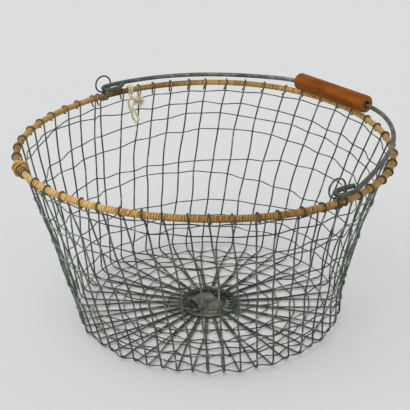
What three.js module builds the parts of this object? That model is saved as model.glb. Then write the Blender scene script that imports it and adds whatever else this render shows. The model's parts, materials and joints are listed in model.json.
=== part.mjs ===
// A round wire basket: hairpin stakes woven with thin wefts, hooked over a cane-bound hoop,
// with a swinging bail and a turned wooden grip. Millimetres and degrees, +Z up, origin under the hub.
import * as THREE from 'three';

// Gap kept between pieces that touch on the real basket
const clearance = 0.3;

// Hoop at the mouth: a hand-bent ring, slightly oval, lobed and saddle-shaped
const hoopRadius = 200;
const hoopHeight = 202.6;
const hoopOval = 1.8;
const hoopLobes = 1.8;
const hoopLobeAzimuth = 85;
const hoopSaddle = 2.2;
const hoopSaddleAzimuth = 70;
const hoopShiftX = -3;
const hoopShiftY = -2.2;
const coreDiameter = 4;
const wrapDiameter = 7;
const hoopJointGap = 0.6;
const jointAzimuth = 200.7;

// Stake hairpins, their spread over base and wall, and their hooks
const pairCount = 26;
const legsBetweenEars = 25;
const stakeDiameter = 2;
const baseRadius = 150.3;
const footBendRadius = 8;
const pairSplitRadius = 80;
const hookShift = 2.2;
const hookWander = 0.4;
const hookWanderRate = 2.4;
const footShift = 12.4;
const footSwing = 6.1;
const footSwingAzimuth = 115;
const wallBow = -0.5;
const wallFlare = -0.2;
const wallSwell = 0.4;
const wallSwellAzimuth = 190;
const hookDrift = 2.4;
const hookEndTurn = -60;

// Slow crowding of the hooks round the hoop: lobes in a turn, swing in degrees and place from the hinge
const hookCrowding = [
  { lobes: 1, swing: 2.6, place: 202 },
  { lobes: 2, swing: 3.2, place: 113 },
  { lobes: 3, swing: 1, place: 14 },
];

// Woven rows
const weftDiameter = 1.4;
const weftEndGap = 0.8;

// Hub
const hubDiameter = 64;
const hubPlateThickness = 1;
const rivetDiameter = 4;
const rivetHeadDiameter = 8;
const rivetHeadHeight = 1.6;
const rivetCrownReach = 0.7;
const rivetCrownRise = 0.75;

// Ears, bail and grip
const hingeAzimuth = -52.5;
const earDiameter = 2;
const earLoopRadius = 10;
const earFootPitch = 3.4;
const bailDiameter = 5;
const bailInset = 13.5;
const bailBendRun = 11.5;
const eyeWidth = 12;
const eyeTaper = 0.8;
const eyeEndGap = 0.5;
const eyeEndRun = 10.5;
const gripDiameter = 20;
const gripLength = 112.5;
const gripOffset = 2.8;
const gripPlay = 1.7;
const gripEdge = 2.5;

// How far each hand-bent arm of the bail bows out, and how much more it does so near the eye
const rightArm = { bow: 26.2, skew: -0.33 };
const leftArm = { bow: 27.8, skew: 0.18 };

// Cane lashing over the joint of the hoop
const lashingDiameter = 2.4;
const lashingPitch = 3;
const lashingTurns = 5;
const lashingTopTurns = 3;
const windingGap = 0.5;

// Twine tied to the hoop
const twineDiameter = 2.8;
const twineTurns = 1.75;
const twinePitch = 3.4;
const knotDiameter = 10;
const knotDrop = 9.4;
const knotAlong = -5.8;
const knotInset = 8;

// Sizes that follow from those above
const stakeCount = 2 * pairCount;
const stakePitch = 360 / stakeCount;
const stakeRadius = stakeDiameter / 2;
const wrapRadius = wrapDiameter / 2;
const weaveLift = stakeRadius + weftDiameter / 2 + clearance;
const pairGap = stakeDiameter + clearance;
const spokeHeight = weftDiameter + clearance + stakeRadius;
const hubSpokeHeight = hubPlateThickness + clearance + stakeRadius;
const closestPair = 1 - THREE.MathUtils.degToRad(footSwing);
const tipRadius = pairCount * (pairGap + stakeDiameter + clearance) / (2 * Math.PI * closestPair);
const wallFoot = spokeHeight + footBendRadius;
const hookSteps = 5;
const hookStep = (180 - hookEndTurn) / hookSteps;
const hookRadius = (wrapRadius + clearance + stakeRadius) / cosine(hookStep / 2);

// Room that the hooks leave along the hoop for the ears and for the lashing, in degrees
const hookReach = hookDrift + stakeRadius + 2 * clearance;
const earRoom = THREE.MathUtils.radToDeg((earFootPitch + earDiameter / 2 + hookReach) / hoopRadius);
const lashingLength = lashingTurns * lashingPitch + lashingDiameter;
const lashingRoom = THREE.MathUtils.radToDeg((lashingLength / 2 + hookReach) / hoopRadius);

// Sides of the faceted wires, cords and turned pieces
const stakeSides = 4;
const weftSides = 3;
const coreSides = 6;
const wrapSides = 8;
const wireSides = 6;
const cordSides = 8;
const plateHoleSides = 12;
const hubSides = 24;
const rivetSides = 12;
const gripSides = 20;

const steel = { color: 0x565c55, roughness: 0.55, metalness: 0.85 };
const zinc = { color: 0x7d857f, roughness: 0.5, metalness: 0.85 };
const cane = { color: 0xc19a58, roughness: 0.6, metalness: 0 };
const wood = { color: 0x8a4a2a, roughness: 0.45, metalness: 0 };
const cotton = { color: 0xd9cfae, roughness: 0.95, metalness: 0 };

const basket = new THREE.Group();

function cosine(degrees) {
  return Math.cos(THREE.MathUtils.degToRad(degrees));
}

function sine(degrees) {
  return Math.sin(THREE.MathUtils.degToRad(degrees));
}

function polar(radius, azimuth, z) {
  return new THREE.Vector3(radius * cosine(azimuth), radius * sine(azimuth), z);
}

function mix(a, b, share) {
  return a.clone().lerp(b, share);
}

function addMesh(parent, name, geometry, finish) {
  const mesh = new THREE.Mesh(geometry, new THREE.MeshStandardMaterial(finish));
  mesh.name = name;
  parent.add(mesh);
  return mesh;
}

function numbered(name, index) {
  return `${name}_${String(index + 1).padStart(2, '0')}`;
}

// A path that runs straight from point to point, with one section at each point
class BentPath extends THREE.Curve {
  constructor(points) {
    super();
    this.points = points;
  }

  getPoint(t, target = new THREE.Vector3()) {
    const place = t * (this.points.length - 1);
    const index = Math.min(Math.floor(place), this.points.length - 2);
    return target.lerpVectors(this.points[index], this.points[index + 1], place - index);
  }

  getTangent(t, target = new THREE.Vector3()) {
    const last = this.points.length - 1;
    const index = Math.round(t * last);
    target.set(0, 0, 0);
    for (const start of [index - 1, index]) {
      if (start >= 0 && start < last) {
        target.add(this.points[start + 1].clone().sub(this.points[start]).normalize());
      }
    }
    return target.normalize();
  }

  getUtoTmapping(u) {
    return u;
  }
}

function polygon(diameter, sides, ShapeClass = THREE.Shape) {
  const corners = [];
  for (let side = 0; side < sides; side += 1) {
    const turn = 360 * side / sides;
    corners.push(new THREE.Vector2(diameter / 2 * cosine(turn), diameter / 2 * sine(turn)));
  }
  return new ShapeClass(corners);
}

function bentTube(points, section) {
  return new THREE.ExtrudeGeometry(section, { steps: points.length - 1, extrudePath: new BentPath(points) });
}

// Smallest distance between the surfaces of a tube's turns, measured between its points.
// Points nearer along the tube than a few diameters lie on the same turn.
const sameTurnDiameters = 4;

function leastGap(points, diameter) {
  const along = [0];
  for (let i = 1; i < points.length; i += 1) {
    along.push(along[i - 1] + points[i].distanceTo(points[i - 1]));
  }
  let least = Infinity;
  for (let i = 0; i < points.length; i += 1) {
    for (let j = i + 1; j < points.length; j += 1) {
      if (along[j] - along[i] > sameTurnDiameters * diameter) {
        least = Math.min(least, points[i].distanceTo(points[j]) - diameter);
      }
    }
  }
  return least;
}

// Hoop centreline, measured from the hoop's own centre
const hoopShift = new THREE.Vector3(hoopShiftX, hoopShiftY, 0);

function hoopReach(azimuth) {
  const oval = hoopOval * cosine(2 * (azimuth - hingeAzimuth));
  const lobes = hoopLobes * cosine(3 * (azimuth - hoopLobeAzimuth));
  return hoopRadius + oval + lobes;
}

function hoopLevel(azimuth) {
  return hoopHeight + hoopSaddle * cosine(2 * (azimuth - hoopSaddleAzimuth));
}

// A point beside the hoop: turn 0 is outside, 90 above and 180 inside it
function aroundHoop(azimuth, radius, turn, along = 0) {
  const reach = hoopReach(azimuth) + radius * cosine(turn);
  const point = polar(reach, azimuth, hoopLevel(azimuth) + radius * sine(turn));
  const tangent = polar(along, azimuth + 90, 0);
  return point.add(tangent).add(hoopShift);
}

// Stake places at the hoop, at the foot of the wall and on the base
function evenTurn(leg) {
  return (leg + 0.5) * stakePitch;
}

// The hooks crowd and wander round the hoop, and make way for the ears and the lashing
function hookAzimuth(leg) {
  let turn = evenTurn(leg) + hookShift + hookWander * Math.sin(hookWanderRate * leg);
  for (const { lobes, swing, place } of hookCrowding) {
    turn += swing * cosine(lobes * (evenTurn(leg) - place));
  }
  const ear = leg < legsBetweenEars ? 0 : 180;
  const azimuth = hingeAzimuth + THREE.MathUtils.clamp(turn, ear + earRoom, ear + 180 - earRoom);
  const fromJoint = azimuth - jointAzimuth;
  if (Math.abs(fromJoint) < lashingRoom) {
    return jointAzimuth + Math.sign(fromJoint) * lashingRoom;
  }
  return azimuth;
}

function footAzimuth(leg) {
  const azimuth = hingeAzimuth + evenTurn(leg);
  return azimuth + footShift + footSwing * cosine(azimuth - footSwingAzimuth);
}

function pairAzimuth(leg) {
  const first = leg - leg % 2;
  return (footAzimuth(first) + footAzimuth(first + 1)) / 2;
}

function legSide(leg) {
  return leg % 2 === 0 ? -1 : 1;
}

function spokePoint(leg, radius, z) {
  const beside = polar(legSide(leg) * pairGap / 2, pairAzimuth(leg) + 90, 0);
  return polar(radius, pairAzimuth(leg), z).add(beside);
}

function basePoint(leg, radius) {
  if (radius <= pairSplitRadius) {
    return spokePoint(leg, radius, spokeHeight);
  }
  const flatEnd = baseRadius - footBendRadius;
  const split = spokePoint(leg, pairSplitRadius, spokeHeight);
  const foot = polar(flatEnd, footAzimuth(leg), spokeHeight);
  return mix(split, foot, (radius - pairSplitRadius) / (flatEnd - pairSplitRadius));
}

// The foot bend runs from 0, flat on the base, to 90, up the wall
function bendPoint(leg, turn, offset = 0) {
  const bend = footBendRadius + offset;
  const radius = baseRadius - footBendRadius + bend * sine(turn);
  return polar(radius, footAzimuth(leg), wallFoot - bend * cosine(turn));
}

const footBendTurns = [0, 30, 60];
const wallStops = [0, 0.25, 0.5, 0.75, 1];

// The wall bows inwards between foot and hoop, less so on the left
function wallBowAt(azimuth) {
  return wallBow + wallSwell * ((1 + cosine(azimuth - wallSwellAzimuth)) / 2) ** 2;
}

function wallStop(leg, share) {
  const azimuth = THREE.MathUtils.lerp(footAzimuth(leg), hookAzimuth(leg), share);
  const bowed = share + share * (1 - share) * (wallBowAt(hookAzimuth(leg)) + wallFlare * (1 - 2 * share));
  const top = hoopReach(hookAzimuth(leg)) - hookRadius;
  const radius = THREE.MathUtils.lerp(baseRadius, top, bowed);
  const z = THREE.MathUtils.lerp(wallFoot, hoopLevel(hookAzimuth(leg)), share);
  return polar(radius, azimuth, z).addScaledVector(hoopShift, share);
}

function wallPoint(leg, share) {
  const last = wallStops.length - 2;
  const index = Math.min(Math.floor(share * (wallStops.length - 1)), last);
  const low = wallStops[index];
  const high = wallStops[index + 1];
  return mix(wallStop(leg, low), wallStop(leg, high), (share - low) / (high - low));
}

// One leg of a hairpin, from the hub out to the end of its hook
function legPoints(leg) {
  const points = [
    spokePoint(leg, tipRadius, hubSpokeHeight),
    spokePoint(leg, hubDiameter / 2 + stakeDiameter, spokeHeight),
    basePoint(leg, pairSplitRadius),
  ];
  for (const turn of footBendTurns) {
    points.push(bendPoint(leg, turn));
  }
  for (const share of wallStops) {
    points.push(wallStop(leg, share));
  }
  for (let step = 1; step <= hookSteps; step += 1) {
    const drift = hookDrift * step / hookSteps;
    points.push(aroundHoop(hookAzimuth(leg), hookRadius, 180 - step * hookStep, drift));
  }
  return points;
}

const tipTurns = [-45, 0, 45];

function hairpinPoints(pair) {
  const first = 2 * pair;
  const second = first + 1;
  const tip = [];
  for (const turn of tipTurns) {
    const inward = polar(-pairGap / 2 * cosine(turn), pairAzimuth(first), 0);
    const beside = polar(pairGap / 2 * sine(turn), pairAzimuth(first) + 90, 0);
    tip.push(polar(tipRadius, pairAzimuth(first), hubSpokeHeight).add(inward).add(beside));
  }
  return [...legPoints(first).reverse(), ...tip, ...legPoints(second)];
}

for (let pair = 0; pair < pairCount; pair += 1) {
  const geometry = bentTube(hairpinPoints(pair), polygon(stakeDiameter, stakeSides));
  addMesh(basket, numbered('stake_wire', pair), geometry, steel);
}

// A woven row: one point at each leg, with its two ends meeting between two legs
function wovenRow(name, index, crossing, startLeg) {
  const ring = [];
  for (let step = 0; step < stakeCount; step += 1) {
    ring.push(crossing((startLeg + step) % stakeCount));
  }
  const first = ring[0];
  const last = ring[stakeCount - 1];
  const gapShare = weftEndGap / first.distanceTo(last) / 2;
  const points = [mix(last, first, 0.5 + gapShare), ...ring, mix(last, first, 0.5 - gapShare)];
  addMesh(basket, numbered(name, index), bentTube(points, polygon(weftDiameter, weftSides)), steel);
}

// Legs from the start of one row to the start of the next, so that the ends lie apart
const wallRowStart = 7;
const footRowStart = 3;
const baseRowStart = 8;

// Wall rows from the top down: height as a share of the hoop's, its slow sway and its ripple
const wallRows = [
  { height: 0.954, sway: 0.015, swayAzimuth: 10, ripple: 0.003, rippleAzimuth: 0 },
  { height: 0.883, sway: 0.022, swayAzimuth: 195, ripple: 0.012, rippleAzimuth: 75 },
  { height: 0.78, sway: 0.03, swayAzimuth: 60, ripple: 0.014, rippleAzimuth: 90 },
  { height: 0.712, sway: 0.006, swayAzimuth: 60, ripple: 0.022, rippleAzimuth: 75 },
  { height: 0.561, sway: 0.03, swayAzimuth: 0, ripple: 0.02, rippleAzimuth: 30 },
  { height: 0.458, sway: 0.02, swayAzimuth: 170, ripple: 0.02, rippleAzimuth: 95 },
  { height: 0.296, sway: 0.02, swayAzimuth: 30, ripple: 0.012, rippleAzimuth: 20 },
  { height: 0.212, sway: 0.015, swayAzimuth: 200, ripple: 0.01, rippleAzimuth: 50 },
  { height: 0.13, sway: 0.012, swayAzimuth: 300, ripple: 0.008, rippleAzimuth: 80 },
];

// Stretches where a row is drawn towards its neighbour: its rise, the azimuth and half the stretch
const rowMeetings = [
  { row: 1, rise: 0.036, azimuth: 146, half: 26 },
  { row: 2, rise: -0.018, azimuth: 172, half: 13 },
  { row: 3, rise: 0.014, azimuth: 172, half: 13 },
];

function meetingRise(index, azimuth) {
  let rise = 0;
  for (const meeting of rowMeetings) {
    const away = Math.abs(azimuth - meeting.azimuth);
    if (meeting.row === index && away < meeting.half) {
      rise += meeting.rise * (1 + cosine(180 * away / meeting.half)) / 2;
    }
  }
  return rise;
}

function rowShare(index, leg) {
  const row = wallRows[index];
  const azimuth = hookAzimuth(leg);
  const sway = row.sway * cosine(azimuth - row.swayAzimuth);
  const ripple = row.ripple * cosine(3 * (azimuth - row.rippleAzimuth));
  const top = hoopLevel(azimuth);
  const height = row.height + sway + ripple + meetingRise(index, azimuth);
  return (height * top - wallFoot) / (top - wallFoot);
}

function weaveSide(leg, index) {
  return (leg + index) % 2 === 0 ? 1 : -1;
}

wallRows.forEach((_, index) => {
  const crossing = (leg) => {
    const point = wallPoint(leg, rowShare(index, leg));
    const outward = polar(weaveSide(leg, index) * weaveLift, hookAzimuth(leg), 0);
    return point.add(outward);
  };
  wovenRow('weft_wall', index, crossing, wallRowStart * index);
});

// One row in the bend at the foot of the wall
const footRowTurn = 55;
const footCrossing = (leg) => bendPoint(leg, footRowTurn, weaveSide(leg, 1) * weaveLift);
wovenRow('weft_foot', 0, footCrossing, footRowStart);

// Base rows from the hub outwards: radius as a share of the base's, with a slow sway in millimetres
const baseRows = [
  { radius: 0.305, sway: 1.5, swayAzimuth: 40, weavesPairs: true },
  { radius: 0.44, sway: 2.5, swayAzimuth: 200, weavesPairs: true },
  { radius: 0.545, sway: 2.5, swayAzimuth: 100, weavesPairs: true },
  { radius: 0.66, sway: 2.5, swayAzimuth: 310, weavesPairs: true },
  { radius: 0.765, sway: 2, swayAzimuth: 20, weavesPairs: false },
  { radius: 0.875, sway: 1.5, swayAzimuth: 160, weavesPairs: false },
];

baseRows.forEach((row, index) => {
  const crossing = (leg) => {
    const sway = row.sway * cosine(2 * (pairAzimuth(leg) - row.swayAzimuth));
    const point = basePoint(leg, row.radius * baseRadius + sway);
    const crossed = row.weavesPairs ? Math.floor(leg / 2) : leg;
    point.z += weaveSide(crossed, index) * weaveLift;
    return point;
  };
  wovenRow('weft_base', index, crossing, baseRowStart * index);
});

// Hoop core and its cane wrap: one turn from joint to joint, with a bend at each hook and ear
const jointHalf = THREE.MathUtils.radToDeg(hoopJointGap / 2 / hoopRadius);
const hoopBends = [hingeAzimuth, hingeAzimuth + 180];
for (let leg = 0; leg < stakeCount; leg += 1) {
  hoopBends.push(hookAzimuth(leg));
}
const hoopTurns = hoopBends.map((azimuth) => THREE.MathUtils.euclideanModulo(azimuth - jointAzimuth, 360));
hoopTurns.sort((a, b) => a - b);
const hoopStops = [jointHalf, ...hoopTurns, 360 - jointHalf];
const hoopPoints = hoopStops.map((turn) => aroundHoop(jointAzimuth + turn, 0, 0));

addMesh(basket, 'hoop_core', bentTube(hoopPoints, polygon(coreDiameter, coreSides)), steel);

const wrapSection = polygon(wrapDiameter, wrapSides);
const wrapBore = (coreDiameter + 2 * clearance) / cosine(180 / coreSides);
wrapSection.holes.push(polygon(wrapBore, coreSides, THREE.Path));
addMesh(basket, 'hoop_wrap', bentTube(hoopPoints, wrapSection), cane);

// A winding round the hoop: the turns climb along it from one side of an azimuth to the other
const windingSteps = 12;
const windingStep = 360 / windingSteps;

function windingPoint(azimuth, radius, turn, along) {
  const place = azimuth + THREE.MathUtils.radToDeg(along / hoopReach(azimuth));
  return aroundHoop(place, radius / cosine(windingStep / 2), turn);
}

function windingPoints(azimuth, radius, turns, pitch, startTurn) {
  const steps = turns * windingSteps;
  const points = [];
  for (let step = 0; step <= steps; step += 1) {
    const along = pitch * turns * (step / steps - 0.5);
    points.push(windingPoint(azimuth, radius, startTurn + windingStep * step, along));
  }
  return points;
}

// The lashing lies over the joint, between two hooks. It starts under the hoop, winds along it,
// climbs beyond its last turn and winds back over itself.
const underHoop = -90;
const lashingRadius = wrapRadius + clearance + lashingDiameter / 2;
const lashingTopRadius = lashingRadius + lashingDiameter + windingGap;
const lashingEnd = lashingTurns * lashingPitch / 2 + clearance;
const lashingClimb = 180;
const lashingPoints = windingPoints(jointAzimuth, lashingRadius, lashingTurns, lashingPitch, underHoop);
for (let turn = windingStep; turn < lashingClimb; turn += windingStep) {
  const radius = THREE.MathUtils.lerp(lashingRadius, lashingTopRadius, turn / lashingClimb);
  lashingPoints.push(windingPoint(jointAzimuth, radius, underHoop + turn, lashingEnd));
}
const topStart = underHoop + lashingClimb;
lashingPoints.push(
  ...windingPoints(jointAzimuth, lashingTopRadius, lashingTopTurns, -lashingPitch, topStart),
);
addMesh(basket, 'hoop_lashing', bentTube(lashingPoints, polygon(lashingDiameter, wireSides)), cane);
console.log('hoop_lashing least gap', leastGap(lashingPoints, lashingDiameter).toFixed(2));

// Ears: a foot wound round the hoop, one loop standing over it, and a second foot
const earFootStep = 45;
const earFootTurn = 270;
const earFootRadius = (wrapRadius + clearance + earDiameter / 2) / cosine(earFootStep / 2);
const earCrossing = earDiameter / 2 + clearance;
const earLoopSteps = 16;

function earPoints(azimuth) {
  const points = [];
  const axis = polar(1, azimuth, 0);
  for (let turn = earFootTurn; turn > 0; turn -= earFootStep) {
    points.push(aroundHoop(azimuth, earFootRadius, 90 - turn, -earFootPitch * turn / earFootTurn));
  }
  for (let step = 0; step <= earLoopSteps; step += 1) {
    const turn = 360 * step / earLoopSteps - 90;
    const height = earFootRadius + earLoopRadius + earLoopRadius * sine(turn);
    const point = aroundHoop(azimuth, height, 90, earLoopRadius * cosine(turn));
    points.push(point.addScaledVector(axis, earCrossing * (1 - 2 * step / earLoopSteps)));
  }
  for (let turn = earFootStep; turn <= earFootTurn; turn += earFootStep) {
    points.push(aroundHoop(azimuth, earFootRadius, 90 + turn, earFootPitch * turn / earFootTurn));
  }
  return points;
}

const earSection = polygon(earDiameter, wireSides);
addMesh(basket, 'ear_right', bentTube(earPoints(hingeAzimuth), earSection), steel);
addMesh(basket, 'ear_left', bentTube(earPoints(hingeAzimuth + 180), earSection), steel);

// Hub: the hairpin bends lie between a disc and a smaller plate held by a rivet
const hubDisc = addMesh(
  basket, 'hub_disc',
  new THREE.CylinderGeometry(hubDiameter / 2, hubDiameter / 2, hubPlateThickness, hubSides), zinc,
);
hubDisc.rotation.x = Math.PI / 2;
hubDisc.position.z = hubPlateThickness / 2;

// Corners of the hand-cut plate, measured from the rivet
const plateCorners = [[-20, 7], [-12.5, -8.5], [-9, -28.5], [10, -27], [15.5, -7.5], [2.5, 21], [-10.5, 18]];
const plateOutline = new THREE.Shape(plateCorners.map(([x, y]) => new THREE.Vector2(x, y)));
plateOutline.holes.push(polygon(rivetDiameter + 2 * clearance, plateHoleSides, THREE.Path));
const topPlateLevel = hubSpokeHeight + stakeRadius + clearance;
const topPlate = addMesh(
  basket, 'hub_top_plate',
  new THREE.ExtrudeGeometry(plateOutline, { depth: hubPlateThickness, bevelEnabled: false }), zinc,
);
topPlate.position.z = topPlateLevel;

const rivetFoot = hubPlateThickness + clearance;
const rivetNeck = topPlateLevel + hubPlateThickness + clearance;
const rivetProfile = [
  new THREE.Vector2(0, rivetFoot),
  new THREE.Vector2(rivetDiameter / 2, rivetFoot),
  new THREE.Vector2(rivetDiameter / 2, rivetNeck),
  new THREE.Vector2(rivetHeadDiameter / 2, rivetNeck),
  new THREE.Vector2(rivetHeadDiameter / 2 * rivetCrownReach, rivetNeck + rivetHeadHeight * rivetCrownRise),
  new THREE.Vector2(0, rivetNeck + rivetHeadHeight),
];
const rivet = addMesh(basket, 'hub_rivet', new THREE.LatheGeometry(rivetProfile, rivetSides), zinc);
rivet.rotation.x = Math.PI / 2;

// Bail and grip, in a frame whose X runs along the hinge and Y towards the grip
const earLevel = hoopLevel(hingeAzimuth);
const hingeLevel = earLevel + earFootRadius + earDiameter / 2 + clearance + bailDiameter / 2;
const bailReach = hoopRadius - bailInset;

// The eye is straight-sided up to its shoulder, past the top of the ear when the bail stands
const earTopReach = earLevel + earFootRadius + 2 * earLoopRadius - hingeLevel;
const eyeShoulder = earTopReach + earDiameter;
const hookTop = hookRadius + stakeRadius;

// The folded grip lies against the hooks under it, a little inside the hoop
function gripSeat() {
  const touch = hookTop + clearance + gripDiameter / 2;
  const halfSpan = gripLength / 2 + hookReach;
  let highest = -Infinity;
  for (let leg = 0; leg < stakeCount; leg += 1) {
    const turn = hookAzimuth(leg) - hingeAzimuth;
    const along = hoopReach(hookAzimuth(leg)) * cosine(turn);
    const beyond = hoopReach(hookAzimuth(leg)) * sine(turn) - bailReach;
    if (Math.abs(along - gripOffset) < halfSpan && Math.abs(beyond) < touch) {
      highest = Math.max(highest, hoopLevel(hookAzimuth(leg)) + Math.sqrt(touch ** 2 - beyond ** 2));
    }
  }
  return highest;
}

// The grip's bore is wider than the wire, which lies at the bottom of it
const gripLift = gripPlay - clearance;
const gripTurn = Math.asin((gripSeat() - hingeLevel) / Math.hypot(bailReach, gripLift));
const restTilt = gripTurn - Math.atan2(gripLift, bailReach);
const hinge = new THREE.Group();
hinge.position.set(hoopShiftX, hoopShiftY, hingeLevel);
hinge.rotation.z = THREE.MathUtils.degToRad(hingeAzimuth);
basket.add(hinge);
const bailFrame = new THREE.Group();
bailFrame.rotation.x = restTilt;
hinge.add(bailFrame);

const eyeTurnStep = 45;
const armSteps = 9;

// One half of the bail, from the end of its eye to the bend beside the grip
function bailHalf(side, arm) {
  const eye = hoopReach(side > 0 ? hingeAzimuth : hingeAzimuth + 180);
  const tipHalf = eyeWidth / 2;
  const armFoot = new THREE.Vector2(eye + tipHalf, eyeShoulder);
  const bend = new THREE.Vector2(gripLength / 2 + side * gripOffset + bailBendRun, bailReach);
  const chord = bend.clone().sub(armFoot);
  const outward = new THREE.Vector2(chord.y, -chord.x).normalize();
  const armPoints = [];
  for (let step = 0; step <= armSteps; step += 1) {
    const share = step / armSteps;
    const bowed = 4 * arm.bow * share * (1 - share) * (1 + arm.skew * (1 - 2 * share));
    armPoints.push(armFoot.clone().addScaledVector(chord, share).addScaledVector(outward, bowed));
  }
  const leave = armPoints[1].clone().sub(armFoot).normalize();
  const inward = new THREE.Vector2(-leave.y, leave.x);
  const eyeEnd = armFoot.clone().addScaledVector(leave, eyeEndRun);
  const points = [
    eyeEnd.addScaledVector(inward, bailDiameter + eyeEndGap),
    new THREE.Vector2(eye - tipHalf * eyeTaper, eyeShoulder),
  ];
  for (let turn = 180; turn <= 360; turn += eyeTurnStep) {
    points.push(new THREE.Vector2(eye + tipHalf * cosine(turn), tipHalf + tipHalf * sine(turn)));
  }
  points.push(...armPoints);
  return points.map((point) => new THREE.Vector3(side * point.x, point.y, 0));
}

const bailPoints = [...bailHalf(1, rightArm), ...bailHalf(-1, leftArm).reverse()];
addMesh(bailFrame, 'bail', bentTube(bailPoints, polygon(bailDiameter, wireSides)), zinc);

const gripHalf = gripLength / 2;
const gripBore = bailDiameter + 2 * gripPlay;
const gripProfile = [
  new THREE.Vector2(gripBore / 2, -gripHalf),
  new THREE.Vector2(gripDiameter / 2 - gripEdge, -gripHalf),
  new THREE.Vector2(gripDiameter / 2, -gripHalf + gripEdge),
  new THREE.Vector2(gripDiameter / 2, gripHalf - gripEdge),
  new THREE.Vector2(gripDiameter / 2 - gripEdge, gripHalf),
  new THREE.Vector2(gripBore / 2, gripHalf),
  new THREE.Vector2(gripBore / 2, -gripHalf),
];
const grip = addMesh(bailFrame, 'grip', new THREE.LatheGeometry(gripProfile, gripSides), wood);
grip.rotation.z = Math.PI / 2;
grip.position.set(gripOffset, bailReach, gripLift);

// Twine between the last two stakes before the left ear: a hitch round the hoop, a knot against
// a stake and a loop that hangs from the knot. Its places are given by the drop below the hoop,
// the distance along it and the inset from the wall.
const twineLegs = [legsBetweenEars - 2, legsBetweenEars - 1];
const twineAzimuth = (hookAzimuth(twineLegs[0]) + hookAzimuth(twineLegs[1])) / 2;

function besideWall(drop, along, inset) {
  const middle = new THREE.Vector3();
  for (const leg of twineLegs) {
    const top = hoopLevel(hookAzimuth(leg));
    middle.addScaledVector(wallPoint(leg, (top - drop - wallFoot) / (top - wallFoot)), 0.5);
  }
  const inward = polar(-inset, twineAzimuth, 0);
  return middle.add(inward).add(polar(along, twineAzimuth + 90, 0));
}

const knotPlace = besideWall(knotDrop, knotAlong, knotInset);
const knotReach = knotDiameter / 2 + 2 * clearance;

// The place just clear of the knot on the way from it to a point
function besideKnot(point) {
  const way = point.clone().sub(knotPlace).normalize();
  return knotPlace.clone().addScaledVector(way, knotReach);
}

const hitchRadius = wrapRadius + clearance + twineDiameter / 2;
const hitchTurns = windingPoints(twineAzimuth, hitchRadius, twineTurns, twinePitch, underHoop);
const hitchTail = besideWall(3.9, 2.9, 2.4);
const hitchPoints = [...hitchTurns, hitchTail, besideKnot(hitchTail)];
addMesh(basket, 'twine_hitch', bentTube(hitchPoints, polygon(twineDiameter, wireSides)), cotton);
console.log('twine_hitch least gap', leastGap(hitchPoints, twineDiameter).toFixed(2));

const knot = addMesh(basket, 'twine_knot', new THREE.IcosahedronGeometry(knotDiameter / 2, 1), cotton);
knot.position.copy(knotPlace);

// The loop leaves the knot beside the hitch, hangs inside the wall and comes back beside itself
const loopDrape = [
  besideWall(5.1, 4.9, 9),
  besideWall(7, 6.4, 7.8),
  besideWall(11, 6.1, 6.6),
  besideWall(15.7, 4.4, 5.4),
  besideWall(20.4, 1.7, 4.4),
  besideWall(25, -0.7, 3.8),
  besideWall(29.2, -2.3, 3.4),
  besideWall(33, -4.2, 4),
  besideWall(34.8, -5.9, 7.2),
  besideWall(32.6, -6.5, 10.6),
  besideWall(29.1, -6.3, 11.6),
  besideWall(25.2, -4.1, 11.4),
  besideWall(21.4, -1.5, 10.6),
  besideWall(17.6, 0.7, 9.8),
  besideWall(14, 2.2, 9.6),
];
const loopPoints = [besideKnot(loopDrape[0]), ...loopDrape, besideKnot(loopDrape[loopDrape.length - 1])];
const loopCurve = new THREE.CatmullRomCurve3(loopPoints);
const loopSteps = 30;
const loopSection = polygon(twineDiameter, cordSides);
const loopGeometry = new THREE.ExtrudeGeometry(loopSection, { steps: loopSteps, extrudePath: loopCurve });
addMesh(basket, 'twine_loop', loopGeometry, cotton);

export default basket;
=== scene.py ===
# A round wire basket: woven galvanised wire on a cane-bound hoop, with a swinging bail and a wooden grip
import json
import math
import random

import bmesh
import bpy
from bpy.props import FloatProperty, FloatVectorProperty, IntProperty, PointerProperty
from mathutils import Matrix, Vector, kdtree, noise
from mathutils.geometry import interpolate_bezier


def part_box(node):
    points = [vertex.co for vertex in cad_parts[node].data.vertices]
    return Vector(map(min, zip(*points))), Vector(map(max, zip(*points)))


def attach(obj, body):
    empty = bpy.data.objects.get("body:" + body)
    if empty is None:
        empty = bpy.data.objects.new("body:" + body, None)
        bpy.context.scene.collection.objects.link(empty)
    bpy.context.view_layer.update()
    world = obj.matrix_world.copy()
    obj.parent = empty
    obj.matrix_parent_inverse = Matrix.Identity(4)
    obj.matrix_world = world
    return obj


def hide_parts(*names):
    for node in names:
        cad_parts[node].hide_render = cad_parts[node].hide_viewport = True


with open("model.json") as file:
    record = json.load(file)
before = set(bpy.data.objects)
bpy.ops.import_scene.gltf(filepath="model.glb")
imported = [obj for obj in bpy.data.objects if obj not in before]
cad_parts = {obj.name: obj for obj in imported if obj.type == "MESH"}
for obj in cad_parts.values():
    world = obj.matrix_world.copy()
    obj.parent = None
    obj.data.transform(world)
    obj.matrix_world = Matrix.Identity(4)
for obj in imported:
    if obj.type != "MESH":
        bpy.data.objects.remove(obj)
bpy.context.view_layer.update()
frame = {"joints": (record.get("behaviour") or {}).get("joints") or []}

bl_info = {
    "name": "Wire basket",
    "version": (1, 0, 0),
    "blender": (4, 5, 0),
    "location": "View3D > Sidebar > Basket",
    "description": "Dresses a wire basket: stakes, woven rows, cane-bound hoop, bail, grip and twine",
    "category": "Object",
}

MM = 0.001

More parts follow.
